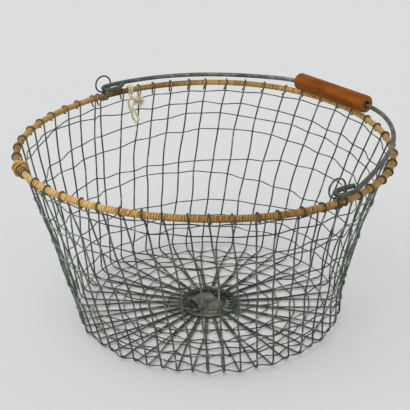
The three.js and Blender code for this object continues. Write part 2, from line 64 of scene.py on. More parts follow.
# Hoop at the mouth: a hand-bent ring, slightly oval, lobed and saddle-shaped
HINGE_AZIMUTH = -52.5
HOOP_RADIUS = 200 * MM
HOOP_HEIGHT = 202.6 * MM
HOOP_OVAL = 1.8 * MM
HOOP_LOBES = 1.8 * MM
HOOP_LOBE_AZIMUTH = 85
HOOP_SADDLE = 2.2 * MM
HOOP_SADDLE_AZIMUTH = 70
HOOP_SHIFT = Vector((-3 * MM, -2.2 * MM, 0))
WRAP_RADIUS = 3.5 * MM
# Painted shade: how far the underside of each cane turn is browned
UNDERSIDE_SHADE = 0.32
CORE_DIAMETER = 4 * MM

# Steps of the hoop's core, and the gap between its two ends in degrees
CORE_STEPS = 240
CORE_GAP = 0.2

# Cane strip wound on the hoop: steps in a turn, half its width in pitches, its section and its waver
CANE_STEPS = 12
CANE_HALF = 0.492
CANE_ROOM = 0.15 * MM
CANE_FLANK = 0.35 * MM
CANE_SHOULDER = 0.08 * MM
CANE_WAVER = 0.12 * MM

# Values on each point of the cane: turns wound so far, place across the strip, and age with painted shade on
# the undersides
CANE_LAYERS = ("winding", "across", "age_and_shade")

# Stretches where the cane has become brown: azimuth, half the stretch and depth
OLD_STRETCHES = (
    (285, 44, 0.76), (338, 52, 0.56), (188, 21, 0.74), (150, 40, 0.4), (128, 14, 0.55), (122, 7, 1.0),
    (107, 18, 0.65), (70, 18, 0.3),
)

# Layers of the lashing on the hoop's joint: turns, pitch, rise in strands, first turn and slant
LASHING_LAYERS = (
    (9, 1.9 * MM, 0.55, -90, 0),
    (7, -2.2 * MM, 1.6, 90, -1.5 * MM),
    (4, 2.9 * MM, 2.6, 30, 2 * MM),
)
LASHING_STEPS = 24
LASHING_SLANT_TURN = 60
LASHING_SLACK = 0.7 * MM
LASHING_SLACK_LENGTH = 9 * MM

# Stakes: hairpins that part on the base, rise in the wall and hook round the hoop
PAIR_COUNT = 26
STAKE_COUNT = 2 * PAIR_COUNT
STAKE_PITCH = 360 / STAKE_COUNT
LEGS_BETWEEN_EARS = 25
HOOK_SHIFT = 2.2
HOOK_WANDER = 0.4
HOOK_WANDER_RATE = 2.4
FOOT_SHIFT = 12.4
FOOT_SWING = 6.1
FOOT_SWING_AZIMUTH = 115
PAIR_GAP = 2.3 * MM
PAIR_SPLIT_RADIUS = 80 * MM
TIP_RADIUS = 21.3 * MM
HUB_RADIUS = 32 * MM
HUB_SPOKE_HEIGHT = 2.3 * MM
SPOKE_HEIGHT = 2.7 * MM
BASE_RADIUS = 150.3 * MM
FOOT_BEND_RADIUS = 8 * MM
FLAT_END = BASE_RADIUS - FOOT_BEND_RADIUS
WALL_FOOT = SPOKE_HEIGHT + FOOT_BEND_RADIUS
WALL_BOW = -0.5
WALL_FLARE = -0.2
WALL_SWELL = 0.4
WALL_SWELL_AZIMUTH = 190
HOOK_RADIUS = 4.5 * MM
HOOK_DRIFT = 1.5 * MM
HOOK_FORK = 0.6 * MM
HOOK_WRAP = 230
HOOK_STEPS = 14
SPOKE_STEPS = 18
WALL_STEPS = 40
JOINT_AZIMUTH = 200.7

# The hooks within this many degrees of the hoop's joint have their tails tucked in under it
TUCKED_TAILS = 65

# A hook's tail: how far it drops, how far it stays above the first row, and its least length
TAIL_DROP = 7.6 * MM
TAIL_ROOM = 2 * MM
TAIL_LEAST = 5.6 * MM

# Turn round the hoop at which a tail leaves it, turn at which a tucked one ends, and where it meets its stake
TAIL_TURN = -82
TUCK_TURN = -115
TAIL_ALONG = 1.5 * MM
TAIL_OUT = 0.8 * MM

# Room along the hoop that the hooks leave for the ears and the lashing, in degrees
EAR_ROOM = math.degrees(8.4 * MM / HOOP_RADIUS)
LASHING_ROOM = math.degrees(12.45 * MM / HOOP_RADIUS)

# Slow crowding of the hooks round the hoop: lobes in a turn, swing in degrees and place from the hinge
HOOK_CROWDING = ((1, 2.6, 202), (2, 3.2, 113), (3, 1.0, 14))

# Bends left by hand work: a slow waver that neighbours share and a quicker one of each wire's own
SHARED_BEND = 2.4 * MM
SHARED_BEND_LENGTH = 60 * MM
OWN_BEND = 1.6 * MM
OWN_BEND_LENGTH = 34 * MM
OWN_BEND_SPACING = 9.7
BEND_SEED = 9

# Depth below the hoop at which the bends fade out, and at which they are full
BEND_FADE = (8 * MM, 60 * MM)

# Wall rows from the top down: share of the hoop's height, slow sway, its azimuth, ripple, its azimuth
WALL_ROWS = (
    (0.954, 0.015, 10, 0.003, 0),
    (0.883, 0.022, 195, 0.012, 75),
    (0.78, 0.03, 60, 0.014, 90),
    (0.712, 0.006, 60, 0.022, 75),
    (0.561, 0.03, 0, 0.02, 30),
    (0.458, 0.02, 170, 0.02, 95),
    (0.296, 0.02, 30, 0.012, 20),
    (0.212, 0.015, 200, 0.01, 50),
    (0.13, 0.012, 300, 0.008, 80),
)

# Stretches where a wall row is drawn towards its neighbour: row, rise, azimuth and half the stretch
ROW_MEETINGS = ((1, 0.036, 146, 26), (2, -0.018, 172, 13), (3, 0.014, 172, 13))
FOOT_ROW_TURN = 55

# How far a weft slips up or down each stake, as a share of the wall's height
WEFT_SLIP = 0.014
WEFT_ROOM = 0.05 * MM
WEFT_STEPS = 6

# Where the ends of the rows meet: stakes from each wall or base row to the next, and the foot row's stake
WALL_ROW_START = 7
BASE_ROW_START = 8
FOOT_ROW_START = 3

# Base rows from the hub outwards: radius as a share of the base's, sway, its azimuth, and if it weaves pairs
BASE_ROWS = (
    (0.305, 1.5 * MM, 40, True),
    (0.44, 2.5 * MM, 200, True),
    (0.545, 2.5 * MM, 100, True),
    (0.66, 2.5 * MM, 310, True),
    (0.765, 2 * MM, 20, False),
    (0.875, 1.5 * MM, 160, False),
)

# Ears, bail and grip
EAR_FOOT_RADIUS = 5.195 * MM
EAR_LOOP_RADIUS = 10 * MM
EAR_FOOT_PITCH = 3.4 * MM
EAR_CROSSING = 1.3 * MM
EAR_FOOT_TURN = 270
EAR_FOOT_SINK = 0.4 * MM
EAR_STEPS = 40
EYE_OUTER = 6 * MM
RIGHT_EYE_HALF = 6.1 * MM
LEFT_EYE_HALF = 7.6 * MM
EYE_SHOULDER = 18.2 * MM
EYE_END_RUN = 10.5 * MM
EYE_END_STEP = 5.5 * MM
BAIL_BEND_RUN = 11.5 * MM
ARM_STEPS = 16
GRIP_LENGTH = 112.5 * MM
GRIP_OFFSET = 2.8 * MM
GRIP_RADIUS = 10 * MM
GRIP_BORE_RADIUS = 4.2 * MM
GRIP_LIFT = 1.4 * MM
GRIP_EDGE = 2.2 * MM
GRIP_END_FACE = 3 * MM

# How far each hand-bent arm of the bail bows out, and how much more it does so near the eye
RIGHT_ARM = (26.2 * MM, -0.33)
LEFT_ARM = (27.8 * MM, 0.18)

# Spots where the bail has rusted through: place along and across its plane, and reach
BAIL_RUST = ((-177.5 * MM, 96 * MM, 5 * MM), (-168 * MM, 107.6 * MM, 4 * MM))

# Thin wire bound over the spokes beside the hub's plate
BINDING_TURNS = 4
BINDING_RADIUS = 27.5 * MM
BINDING_PITCH = 1.7 * MM
BINDING_STEPS = 72
BINDING_DIAMETER = 1.3 * MM
BINDING_LIFT = 1.5 * MM
BINDING_RIPPLE = 0.35 * MM

# Hub: the plate's hand-cut corners in millimetres, the eased edge of its sheets, and the rivet
PLATE_CORNERS = ((-20, 7), (-12.5, -8.5), (-9, -28.5), (10, -27), (15.5, -7.5), (2.5, 21), (-10.5, 18))
SHEET_EASE = 0.25 * MM
RIVET_HEAD = 1.6 * MM
RIVET_SHANK_RADIUS = 2 * MM

# Twine: places in millimetres by drop below the hoop, distance along it and inset from the wall
TWINE_LEGS = (LEGS_BETWEEN_EARS - 2, LEGS_BETWEEN_EARS - 1)
HITCH_TURNS = 1.75
HITCH_PITCH = 3.4 * MM
HITCH_STEPS = 24
HITCH_TAIL = (3.9, 2.9, 2.4)
KNOT_PLACE = (9.4, -5.8, 8)
KNOT_REACH = 5.6 * MM
KNOT_UNIT = 1.5 * MM
KNOT_STEPS = 72
KNOT_HEIGHT = 1.2
KNOT_DEPTH = 0.6
LOOP_PLACES = (
    (5.1, 4.9, 9), (7, 6.4, 7.8), (11, 6.1, 6.6), (15.7, 4.4, 5.4), (20.4, 1.7, 4.4), (25, -0.7, 3.8),
    (29.2, -2.3, 3.4), (33, -4.2, 4), (34.8, -5.9, 7.2), (32.6, -6.5, 10.6), (29.1, -6.3, 11.6),
    (25.2, -4.1, 11.4), (21.4, -1.5, 10.6), (17.6, 0.7, 9.8), (14, 2.2, 9.6),
)

# String of plies: their count, their offset and lay length in string diameters, and the loose fibres
PLY_COUNT = 3
PLY_OFFSET = 0.27
PLY_LAY = 3
FRAY_SEED = 7
FRAY_DIAMETER = 0.32 * MM
FRAY_REACH = (4.6, 8.6)
FRAY_CURL = 1.2 * MM

# Camera at the photograph's angle
CAMERA_TARGET = Vector((-3 * MM, -2.2 * MM, 127.58 * MM))
CAMERA_ELEVATION = 24.55
CAMERA_DISTANCE = 1158.26 * MM
CAMERA_ROLL = -0.0079
CAMERA_LENS = 91.8
CAMERA_CLIP = (0.05, 50)

# Studio light: an even level from all round and a broad key lamp from the upper left
ROUND_LIGHT = 0.75
KEY_LIGHT = 1.1
KEY_WIDTH = 50
KEY_AIM = Vector((0.42, 0.3, -1))
FLOOR_RADIUS = 6

# Gap under which two points are one, and degrees from step to step of a bend
WELD = 0.001 * MM
TURN_STEP = 15


def cosine(degrees):
    return math.cos(math.radians(degrees))


def sine(degrees):
    return math.sin(math.radians(degrees))


def polar(radius, azimuth, z=0.0):
    return Vector((radius * cosine(azimuth), radius * sine(azimuth), z))


def flow(points, steps):
    """A smooth line through the points, with a number of steps between each two."""
    last = len(points) - 1
    line = []
    for index in range(last):
        before = points[max(index - 1, 0)]
        start = points[index]
        end = points[index + 1]
        after = points[min(index + 2, last)]
        leave = start + (end - before) / 6
        arrive = end - (after - start) / 6
        line += interpolate_bezier(start, leave, arrive, end, steps + 1)[:-1]
    return line + [points[-1]]


# Places on the hoop and the stakes


def hoop_reach(azimuth):
    oval = HOOP_OVAL * cosine(2 * (azimuth - HINGE_AZIMUTH))
    return HOOP_RADIUS + oval + HOOP_LOBES * cosine(3 * (azimuth - HOOP_LOBE_AZIMUTH))


def hoop_level(azimuth):
    return HOOP_HEIGHT + HOOP_SADDLE * cosine(2 * (azimuth - HOOP_SADDLE_AZIMUTH))


def around_hoop(azimuth, radius, turn, along=0.0):
    """A point beside the hoop: turn 0 is outside, 90 above and 180 inside it."""
    reach = hoop_reach(azimuth) + radius * cosine(turn)
    point = polar(reach, azimuth, hoop_level(azimuth) + radius * sine(turn))
    return point + polar(along, azimuth + 90) + HOOP_SHIFT


def even_turn(leg):
    return (leg + 0.5) * STAKE_PITCH


def hook_azimuth(leg):
    """The hooks crowd and wander round the hoop, and make way for the ears and the lashing."""
    turn = even_turn(leg) + HOOK_SHIFT + HOOK_WANDER * math.sin(HOOK_WANDER_RATE * leg)
    for lobes, swing, place in HOOK_CROWDING:
        turn += swing * cosine(lobes * (even_turn(leg) - place))
    ear = 0 if leg < LEGS_BETWEEN_EARS else 180
    azimuth = HINGE_AZIMUTH + min(max(turn, ear + EAR_ROOM), ear + 180 - EAR_ROOM)
    from_joint = azimuth - JOINT_AZIMUTH
    if abs(from_joint) < LASHING_ROOM:
        return JOINT_AZIMUTH + math.copysign(LASHING_ROOM, from_joint)
    return azimuth


def foot_azimuth(leg):
    azimuth = HINGE_AZIMUTH + even_turn(leg)
    return azimuth + FOOT_SHIFT + FOOT_SWING * cosine(azimuth - FOOT_SWING_AZIMUTH)


def pair_azimuth(leg):
    first = leg - leg % 2
    return (foot_azimuth(first) + foot_azimuth(first + 1)) / 2


def ease(value, start, end):
    """Rises smoothly from 0 at the start to 1 at the end."""
    share = min(max((value - start) / (end - start), 0.0), 1.0)
    return share * share * (3 - 2 * share)


def hand_bent(point, leg):
    """Where hand work has bent a point of a stake: not at the hub or the hoop, and level on the base."""
    reach = math.hypot(point.x, point.y)
    shared = noise.noise_vector(point / SHARED_BEND_LENGTH) * SHARED_BEND
    apart = Vector((OWN_BEND_SPACING * leg, 0, 0))
    own = noise.noise_vector(point / OWN_BEND_LENGTH + apart) * OWN_BEND
    bend = shared * ease(reach, HUB_RADIUS, 2 * HUB_RADIUS) + own * ease(reach, PAIR_SPLIT_RADIUS, FLAT_END)
    bend *= ease(HOOP_HEIGHT - point.z, *BEND_FADE)
    bend.z *= ease(point.z, WALL_FOOT, 3 * WALL_FOOT)
    return point + bend


def spoke_point(leg, radius, z):
    side = -1 if leg % 2 == 0 else 1
    return polar(radius, pair_azimuth(leg), z) + polar(side * PAIR_GAP / 2, pair_azimuth(leg) + 90)


def base_point(leg, radius):
    if radius <= PAIR_SPLIT_RADIUS:
        return hand_bent(spoke_point(leg, radius, SPOKE_HEIGHT), leg)
    split = spoke_point(leg, PAIR_SPLIT_RADIUS, SPOKE_HEIGHT)
    foot = polar(FLAT_END, foot_azimuth(leg), SPOKE_HEIGHT)
    share = (radius - PAIR_SPLIT_RADIUS) / (FLAT_END - PAIR_SPLIT_RADIUS)
    return hand_bent(split.lerp(foot, share), leg)


def bend_point(leg, turn, offset=0.0):
    """The foot bend runs from 0, flat on the base, to 90, up the wall."""
    bend = FOOT_BEND_RADIUS + offset
    point = polar(FLAT_END + bend * sine(turn), foot_azimuth(leg), WALL_FOOT - bend * cosine(turn))
    return hand_bent(point, leg)


def straight_wall_point(leg, share):
    foot = foot_azimuth(leg)
    hook = hook_azimuth(leg)
    bow = WALL_BOW + WALL_SWELL * ((1 + cosine(hook - WALL_SWELL_AZIMUTH)) / 2) ** 2
    bowed = share + share * (1 - share) * (bow + WALL_FLARE * (1 - 2 * share))
    top = hoop_reach(hook) - HOOK_RADIUS
    radius = BASE_RADIUS + (top - BASE_RADIUS) * bowed
    z = WALL_FOOT + (hoop_level(hook) - WALL_FOOT) * share
    return polar(radius, foot + (hook - foot) * share, z) + HOOP_SHIFT * share


def wall_point(leg, share):
    return hand_bent(straight_wall_point(leg, share), leg)


def drop_share(leg, drop):
    """The share of the wall's height at a drop below the hoop."""
    rise = hoop_level(hook_azimuth(leg)) - WALL_FOOT
    return (rise - drop) / rise


def row_share(index, leg):
    height, sway, sway_azimuth, ripple, ripple_azimuth = WALL_ROWS[index]
    azimuth = hook_azimuth(leg)
    height += sway * cosine(azimuth - sway_azimuth) + ripple * cosine(3 * (azimuth - ripple_azimuth))
    for row, rise, middle, half in ROW_MEETINGS:
        away = abs(azimuth - middle)
        if row == index and away < half:
            height += rise * (1 + cosine(180 * away / half)) / 2
    top = hoop_level(azimuth)
    return (height * top - WALL_FOOT) / (top - WALL_FOOT)


def weave_side(leg, index):
    return 1 if (leg + index) % 2 == 0 else -1


# Meshes and pieces


def settled(holder):
    """The mesh that a new object's curve or modifiers give. The object itself is removed."""
    bpy.context.scene.collection.objects.link(holder)
    depsgraph = bpy.context.evaluated_depsgraph_get()
    mesh = bpy.data.meshes.new_from_object(holder.evaluated_get(depsgraph))
    bpy.data.objects.remove(holder)
    return mesh


def sweep(lines, diameter, sides):
    """A mesh of round wire along each line of points, with closed ends."""
    curve = bpy.data.curves.new("wire_line", "CURVE")
    curve.dimensions = "3D"
    curve.bevel_depth = diameter / 2
    curve.bevel_resolution = (sides - 4) // 2
    curve.use_fill_caps = True
    for line in lines:
        spline = curve.splines.new("POLY")
        spline.points.add(len(line) - 1)
        for point, place in zip(spline.points, line):
            point.co = (*place, 1)
    mesh = settled(bpy.data.objects.new("wire_line", curve))
    bpy.data.curves.remove(curve)
    form = bmesh.new()
    form.from_mesh(mesh)
    bmesh.ops.remove_doubles(form, verts=form.verts, dist=WELD)
    form.to_mesh(mesh)
    form.free()
    return mesh


def spun(points, closed, axis, steps, **rest):
    """A line of points, closed or open, spun once round an axis through the origin."""
    form = bmesh.new()
    verts = [form.verts.new(point) for point in points]
    follow = verts[1:] + verts[:1] if closed else verts[1:]
    edges = [form.edges.new(pair) for pair in zip(verts, follow)]
    bmesh.ops.spin(
        form, geom=[*verts, *edges], cent=(0, 0, 0), axis=axis, angle=2 * math.pi, steps=steps, **rest,
    )
    return form


def mesh_from(form):
    """Turns a finished bmesh into a mesh, with its faces pointing outwards."""
    bmesh.ops.recalc_face_normals(form, faces=form.faces)
    mesh = bpy.data.meshes.new("form")
    form.to_mesh(mesh)
    form.free()
    return mesh


def add_piece(name, mesh, material, nodes, body="basket"):
    """Links a finished mesh as one piece that rides on a body and stands for its CAD nodes."""
    mesh.name = name
    mesh.materials.clear()
    mesh.materials.append(material)
    mesh.shade_smooth()
    mesh.set_sharp_from_angle(angle=math.radians(50))
    piece = bpy.data.objects.new(name, mesh)
    bpy.context.scene.collection.objects.link(piece)
    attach(piece, body)
    if nodes:
        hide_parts(*nodes)
    return piece


def numbered(name, index):
    return f"{name}_{index + 1:02d}"


# Materials

MIX_FACTOR, MIX_A, MIX_B, MIX_RESULT = 0, 6, 7, 2


def linear(hex_colour):
    """The linear colour of an sRGB hex value."""
    shares = [int(hex_colour[i:i + 2], 16) / 255 for i in (1, 3, 5)]
    return [c / 12.92 if c <= 0.04045 else ((c + 0.055) / 1.055) ** 2.4 for c in shares]


def feed(tree, node, inputs):
    """Fills a node's inputs: an output is linked, and anything else is the input's own value."""
    for socket, value in inputs.items():
        if isinstance(value, bpy.types.NodeSocket):
            tree.links.new(value, node.inputs[socket])
        else:
            node.inputs[socket].default_value = value


def add(tree, kind, inputs, output=0, stops=(), **settings):
    """Adds a shader node with its settings, inputs and colour stops, and returns one of its outputs."""
    node = tree.nodes.new(f"ShaderNode{kind}")
    for name, value in settings.items():
        setattr(node, name, value)
    feed(tree, node, inputs)
    if stops:
        ramp = node.color_ramp.elements
        while len(ramp) < len(stops):
            ramp.new(1)
        for element, (place, colour) in zip(ramp, stops):
            element.position = place
            element.color = (*colour, 1)
    return node.outputs[output]


def start_material(name):
    """A new material with its node tree, its shader and its object coordinates."""
    material = bpy.data.materials.new(name)
    material.use_nodes = True
    tree = material.node_tree
    return material, tree, tree.nodes["Principled BSDF"], add(tree, "TexCoord", {}, "Object")


def grey(level):
    return (level, level, level)


def weathered_zinc(name, skin_tones, rust, bloom_size, rust_from, zones=(), spots=()):
    """Steel hot-dipped in zinc and long weathered: a dull grey-green skin, pale where zinc bloom is
    left, brown where the zinc is gone, over a fine crystalline grain. A zone shades into another tone
    along one or more axes, and a spot shades into another tone towards its middle."""
    material, tree, shader, place = start_material(name)
    dark, middle, pale = skin_tones
    bloom = add(tree, "TexNoise", {"Vector": place, "Scale": 1 / bloom_size, "Detail": 5, "Roughness": 0.65})
    colour = add(tree, "ValToRGB", {"Fac": bloom}, stops=[(0.36, dark), (0.52, middle), (0.67, pale)])
    pit_size = 2.2 * bloom_size
    pitting = add(tree, "TexNoise", {"Vector": place, "Scale": 1 / pit_size, "Detail": 6, "Roughness": 0.7})
    bared = [(rust_from, grey(0)), (rust_from + 0.08, grey(1))]
    rusted = add(tree, "ValToRGB", {"Fac": pitting}, stops=bared)
    shades = []
    for limits, tone, depth in zones:
        share = depth
        for axis, start, end in limits:
            along = add(tree, "SeparateXYZ", {"Vector": place}, axis)
            part = add(tree, "MapRange", {"Value": along, "From Min": start, "From Max": end})
            share = add(tree, "Math", {0: share, 1: part}, operation="MULTIPLY")
        shades.append((share, tone))
    shades.append((rusted, rust))
    for spot, reach, tone, depth in spots:
        away = add(tree, "VectorMath", {0: place, 1: spot}, "Value", operation="DISTANCE")
        fade = {"From Min": reach, "From Max": reach / 2, "To Max": depth}
        shades.append((add(tree, "MapRange", {"Value": away, **fade}), tone))
    for share, tone in shades:
        mixed = {MIX_FACTOR: share, MIX_A: colour, MIX_B: (*tone, 1)}
        colour = add(tree, "Mix", mixed, MIX_RESULT, data_type="RGBA")
    grain = add(tree, "TexNoise", {"Vector": place, "Scale": 1 / (1.5 * MM), "Detail": 3})
    feed(tree, shader, {
        "Base Color": colour,
        "Metallic": 0.4,
        "Roughness": add(tree, "MapRange", {"Value": bloom, "To Min": 0.62, "To Max": 0.42}),
        "Normal": add(tree, "Bump", {"Height": grain, "Strength": 0.25, "Distance": 0.2 * MM}),
    })
    return material


def zinc_wire(name, tones, bloom_size, rust_from, **weather):
    """The weathered zinc of the basket's thin wires."""
    skin_tones = (tones.zinc_dark, tones.zinc_middle, tones.zinc_pale)
    return weathered_zinc(name, skin_tones, tones.rust, bloom_size, rust_from, **weather)


def split_cane(name, light, dark, age_and_shade_tint):
    """Split rattan cane, wound: a smooth honey skin with fine fibres along each turn, each turn of
    its own tone, dirt in some of the joints between turns and painted shade in all of them, brown old
    stretches, and painted shade that browns the underside of each turn."""
    material, tree, shader, _ = start_material(name)
    layers = [add(tree, "Attribute", {}, "Fac", attribute_name=layer) for layer in CANE_LAYERS]
    winding, across, age_and_shade = layers
    turn = add(tree, "Math", {0: winding}, operation="FLOOR")
    own = add(tree, "TexWhiteNoise", {"W": turn}, noise_dimensions="1D")
    colour = add(tree, "ValToRGB", {"Fac": own}, stops=[(0.0, dark), (0.4, light), (1.0, light)])
    along = add(tree, "CombineXYZ", {"X": winding, "Y": across})
    drawn = add(tree, "Mapping", {"Vector": along, "Scale": (1.2, 9, 1)})
    fibre = add(tree, "TexNoise", {"Vector": drawn, "Scale": 2.0, "Detail": 3})
    veined = add(tree, "MapRange", {"Value": fibre, "From Min": 0.45, "From Max": 0.75, "To Max": 0.8})
    # Dark edges of each strip: dirt in some joints, and painted shade in the gaps between all turns
    edge = add(tree, "Math", {0: across}, operation="ABSOLUTE")
    joint_dirt_and_shade = add(tree, "ValToRGB", {"Fac": edge}, stops=[(0.28, grey(1)), (0.46, grey(0.15))])
    side = add(tree, "Math", {0: across}, operation="SIGN")
    joint = add(tree, "Math", {0: side, 1: 0.5, 2: winding}, operation="MULTIPLY_ADD")
    joint_count = add(tree, "Math", {0: joint}, operation="FLOOR")
    grime = add(tree, "TexWhiteNoise", {"W": joint_count}, noise_dimensions="1D")
    caught_dirt_and_shade = add(tree, "MapRange", {"Value": grime, "From Min": 0.3, "From Max": 0.6, "To Min": 0.2})
    shades = ((veined, (*dark, 1), "MIX"), (age_and_shade, (*age_and_shade_tint, 1), "MULTIPLY"), (caught_dirt_and_shade, joint_dirt_and_shade, "MULTIPLY"))
    for share, tone, blend in shades:
        mixed = {MIX_FACTOR: share, MIX_A: colour, MIX_B: tone}
        colour = add(tree, "Mix", mixed, MIX_RESULT, data_type="RGBA", blend_type=blend)
    feed(tree, shader, {
        "Base Color": colour,
        "Roughness": 0.48,
        "Specular IOR Level": 0.2,
        "Normal": add(tree, "Bump", {"Height": fibre, "Strength": 0.3, "Distance": 0.15 * MM}),
    })
    return material


def varnished_wood(name, light, dark, streak, end, centre, axis):
    """Turned hardwood, stained red-brown and varnished: grain runs along the grip, with short dark
    pores, a worn satin coat and ends rubbed bare."""
    material, tree, shader, place = start_material(name)
    turn = axis.to_track_quat("X", "Z").to_euler()
    pose = {"Vector": place, "Location": centre, "Rotation": turn}
    laid = add(tree, "Mapping", pose, vector_type="TEXTURE")
    drawn = add(tree, "Mapping", {"Vector": laid, "Scale": (0.2, 1, 1)})
    figure = add(tree, "TexNoise", {"Vector": drawn, "Scale": 1 / (7 * MM), "Detail": 5, "Distortion": 0.6})
    colour = add(tree, "ValToRGB", {"Fac": figure}, stops=[(0.35, dark), (0.65, light)])
    fine = add(tree, "Mapping", {"Vector": laid, "Scale": (0.3, 1, 1)})
    pores = add(tree, "TexNoise", {"Vector": fine, "Scale": 1 / (1.1 * MM), "Detail": 2})
    pored = add(tree, "ValToRGB", {"Fac": pores}, stops=[(0.56, grey(0)), (0.72, grey(0.45))])
    along = add(tree, "SeparateXYZ", {"Vector": laid}, "X")
    from_middle = add(tree, "Math", {0: along}, operation="ABSOLUTE")
    rubbed = {"From Min": GRIP_LENGTH / 2 - GRIP_EDGE, "From Max": GRIP_LENGTH / 2, "To Max": 0.65}
    bared = add(tree, "MapRange", {"Value": from_middle, **rubbed})
    for share, tone in ((pored, streak), (bared, end)):
        mixed = {MIX_FACTOR: share, MIX_A: colour, MIX_B: (*tone, 1)}
        colour = add(tree, "Mix", mixed, MIX_RESULT, data_type="RGBA")
    feed(tree, shader, {
        "Base Color": colour,
        "Roughness": 0.5,
        "Specular IOR Level": 0.08,
        "Coat Weight": 0.03,
        "Coat Roughness": 0.35,
        "Normal": add(tree, "Bump", {"Height": pores, "Strength": 0.15, "Distance": 0.1 * MM}),
    })
    return material


def cotton_string(name, light, dark):
    """Twisted string of undyed cotton, aged to straw: matt and fuzzy, in uneven tones."""
    material, tree, shader, place = start_material(name)
    fuzz = add(tree, "TexNoise", {"Vector": place, "Scale": 1 / (1.6 * MM), "Detail": 4})
    colour = add(tree, "ValToRGB", {"Fac": fuzz}, stops=[(0.35, dark), (0.62, light)])
    feed(tree, shader, {"Base Color": colour, "Roughness": 0.95, "Sheen Weight": 0.2})
    return material


def seamless_paper(name, tone):
    """Matt studio paper: plain, pale and without gloss."""
    material, tree, shader, _ = start_material(name)
    feed(tree, shader, {"Base Color": (*tone, 1), "Roughness": 0.95, "Specular IOR Level": 0.1})
    return material


# Settings


def length(name, description, default):
    return FloatProperty(name=name, description=description, default=default, min=0.1 * MM, unit="LENGTH")


def colour(name, description, hex_colour):
    return FloatVectorProperty(
        name=name, description=description, default=linear(hex_colour), size=3, min=0, max=1, subtype="COLOR",
    )


class BasketSizes(bpy.types.PropertyGroup):
    """Thicknesses and windings of the basket's wires, cane and string."""

    stake_diameter: length("Stake wire", "Diameter of the stake wires", 1.85 * MM)
    weft_diameter: length("Weft wire", "Diameter of the woven wires", 1.35 * MM)
    ear_diameter: length("Ear wire", "Diameter of the ear wires", 2 * MM)
    bail_diameter: length("Bail wire", "Diameter of the bail", 5 * MM)
    cane_pitch: length("Cane pitch", "Distance from turn to turn of the cane on the hoop", 2.6 * MM)
    lashing_diameter: length("Lashing cane", "Thickness of the cane at the joint of the hoop", 1.5 * MM)
    twine_diameter: length("Twine", "Diameter of the twine", 2.8 * MM)
    fray_count: IntProperty(name="Frayed fibres", description="Loose fibres on the knot", default=260, min=0)


class BasketColours(bpy.types.PropertyGroup):
    """Colours of the basket's finishes and of the studio."""

    zinc_dark: colour("Dark zinc", "Weathered skin of the wires", "#282c25")
    zinc_middle: colour("Zinc", "Middle tone of the wires", "#464b42")
    zinc_pale: colour("Pale zinc", "Zinc bloom on the wires", "#98a096")
    # Painted highlight: pale zinc laid on the wires of the left and right walls
    zinc_side_highlight: colour("Zinc bloom", "Wires at the left and right, where the zinc is palest", "#aab4a9")
    # Real wear on the hub's plate and the back hooks, and also painted light on the front stakes and on the
    # front rim of the hub's binding
    zinc_worn_and_lit: colour("Worn zinc", "Wires and rims that hands have rubbed", "#7d7d6d")
    zinc_tarnished: colour("Tarnished zinc", "Hooks at the front, where dirt has gathered", "#3c3725")
    zinc_olive: colour("Stained zinc", "Hooks at the left, stained by the cane", "#6e6648")
    zinc_sheet: colour("Zinc sheet", "Middle tone of the hub's plate", "#575c52")
    rust: colour("Rust", "Rust on wire and hub", "#6a5230")
    bail_dark: colour("Dark bail", "Dark skin of the bail", "#434a45")
    bail_middle: colour("Bail zinc", "Middle tone of the bail", "#65675b")
    bail_pale: colour("Pale bail", "Zinc bloom on the bail", "#8e9184")
    cane_light: colour("Light cane", "Light turns of the cane", "#f0c67c")
    cane_dark: colour("Dark cane", "Dark turns of the cane", "#bb8640")
    # Tint of the aged stretches of the cane, also laid on the underside of every turn as painted shade
    cane_age_and_shade: colour("Old cane", "Tint of the aged stretches of the cane", "#82703a")
    wood_light: colour("Light wood", "Light grain of the grip", "#945210")
    wood_dark: colour("Dark wood", "Dark grain of the grip", "#733a08")
    wood_streak: colour("Wood pores", "Pores of the grip", "#421e0b")
    wood_end: colour("Wood ends", "Bare wood at the ends of the grip", "#8a5c30")
    string_light: colour("Light string", "Light tone of the twine", "#e9e3c6")
    string_dark: colour("Dark string", "Dark tone of the twine", "#b4a76c")
    floor: colour("Floor", "Colour of the studio paper", "#d6d7d7")


# Operators


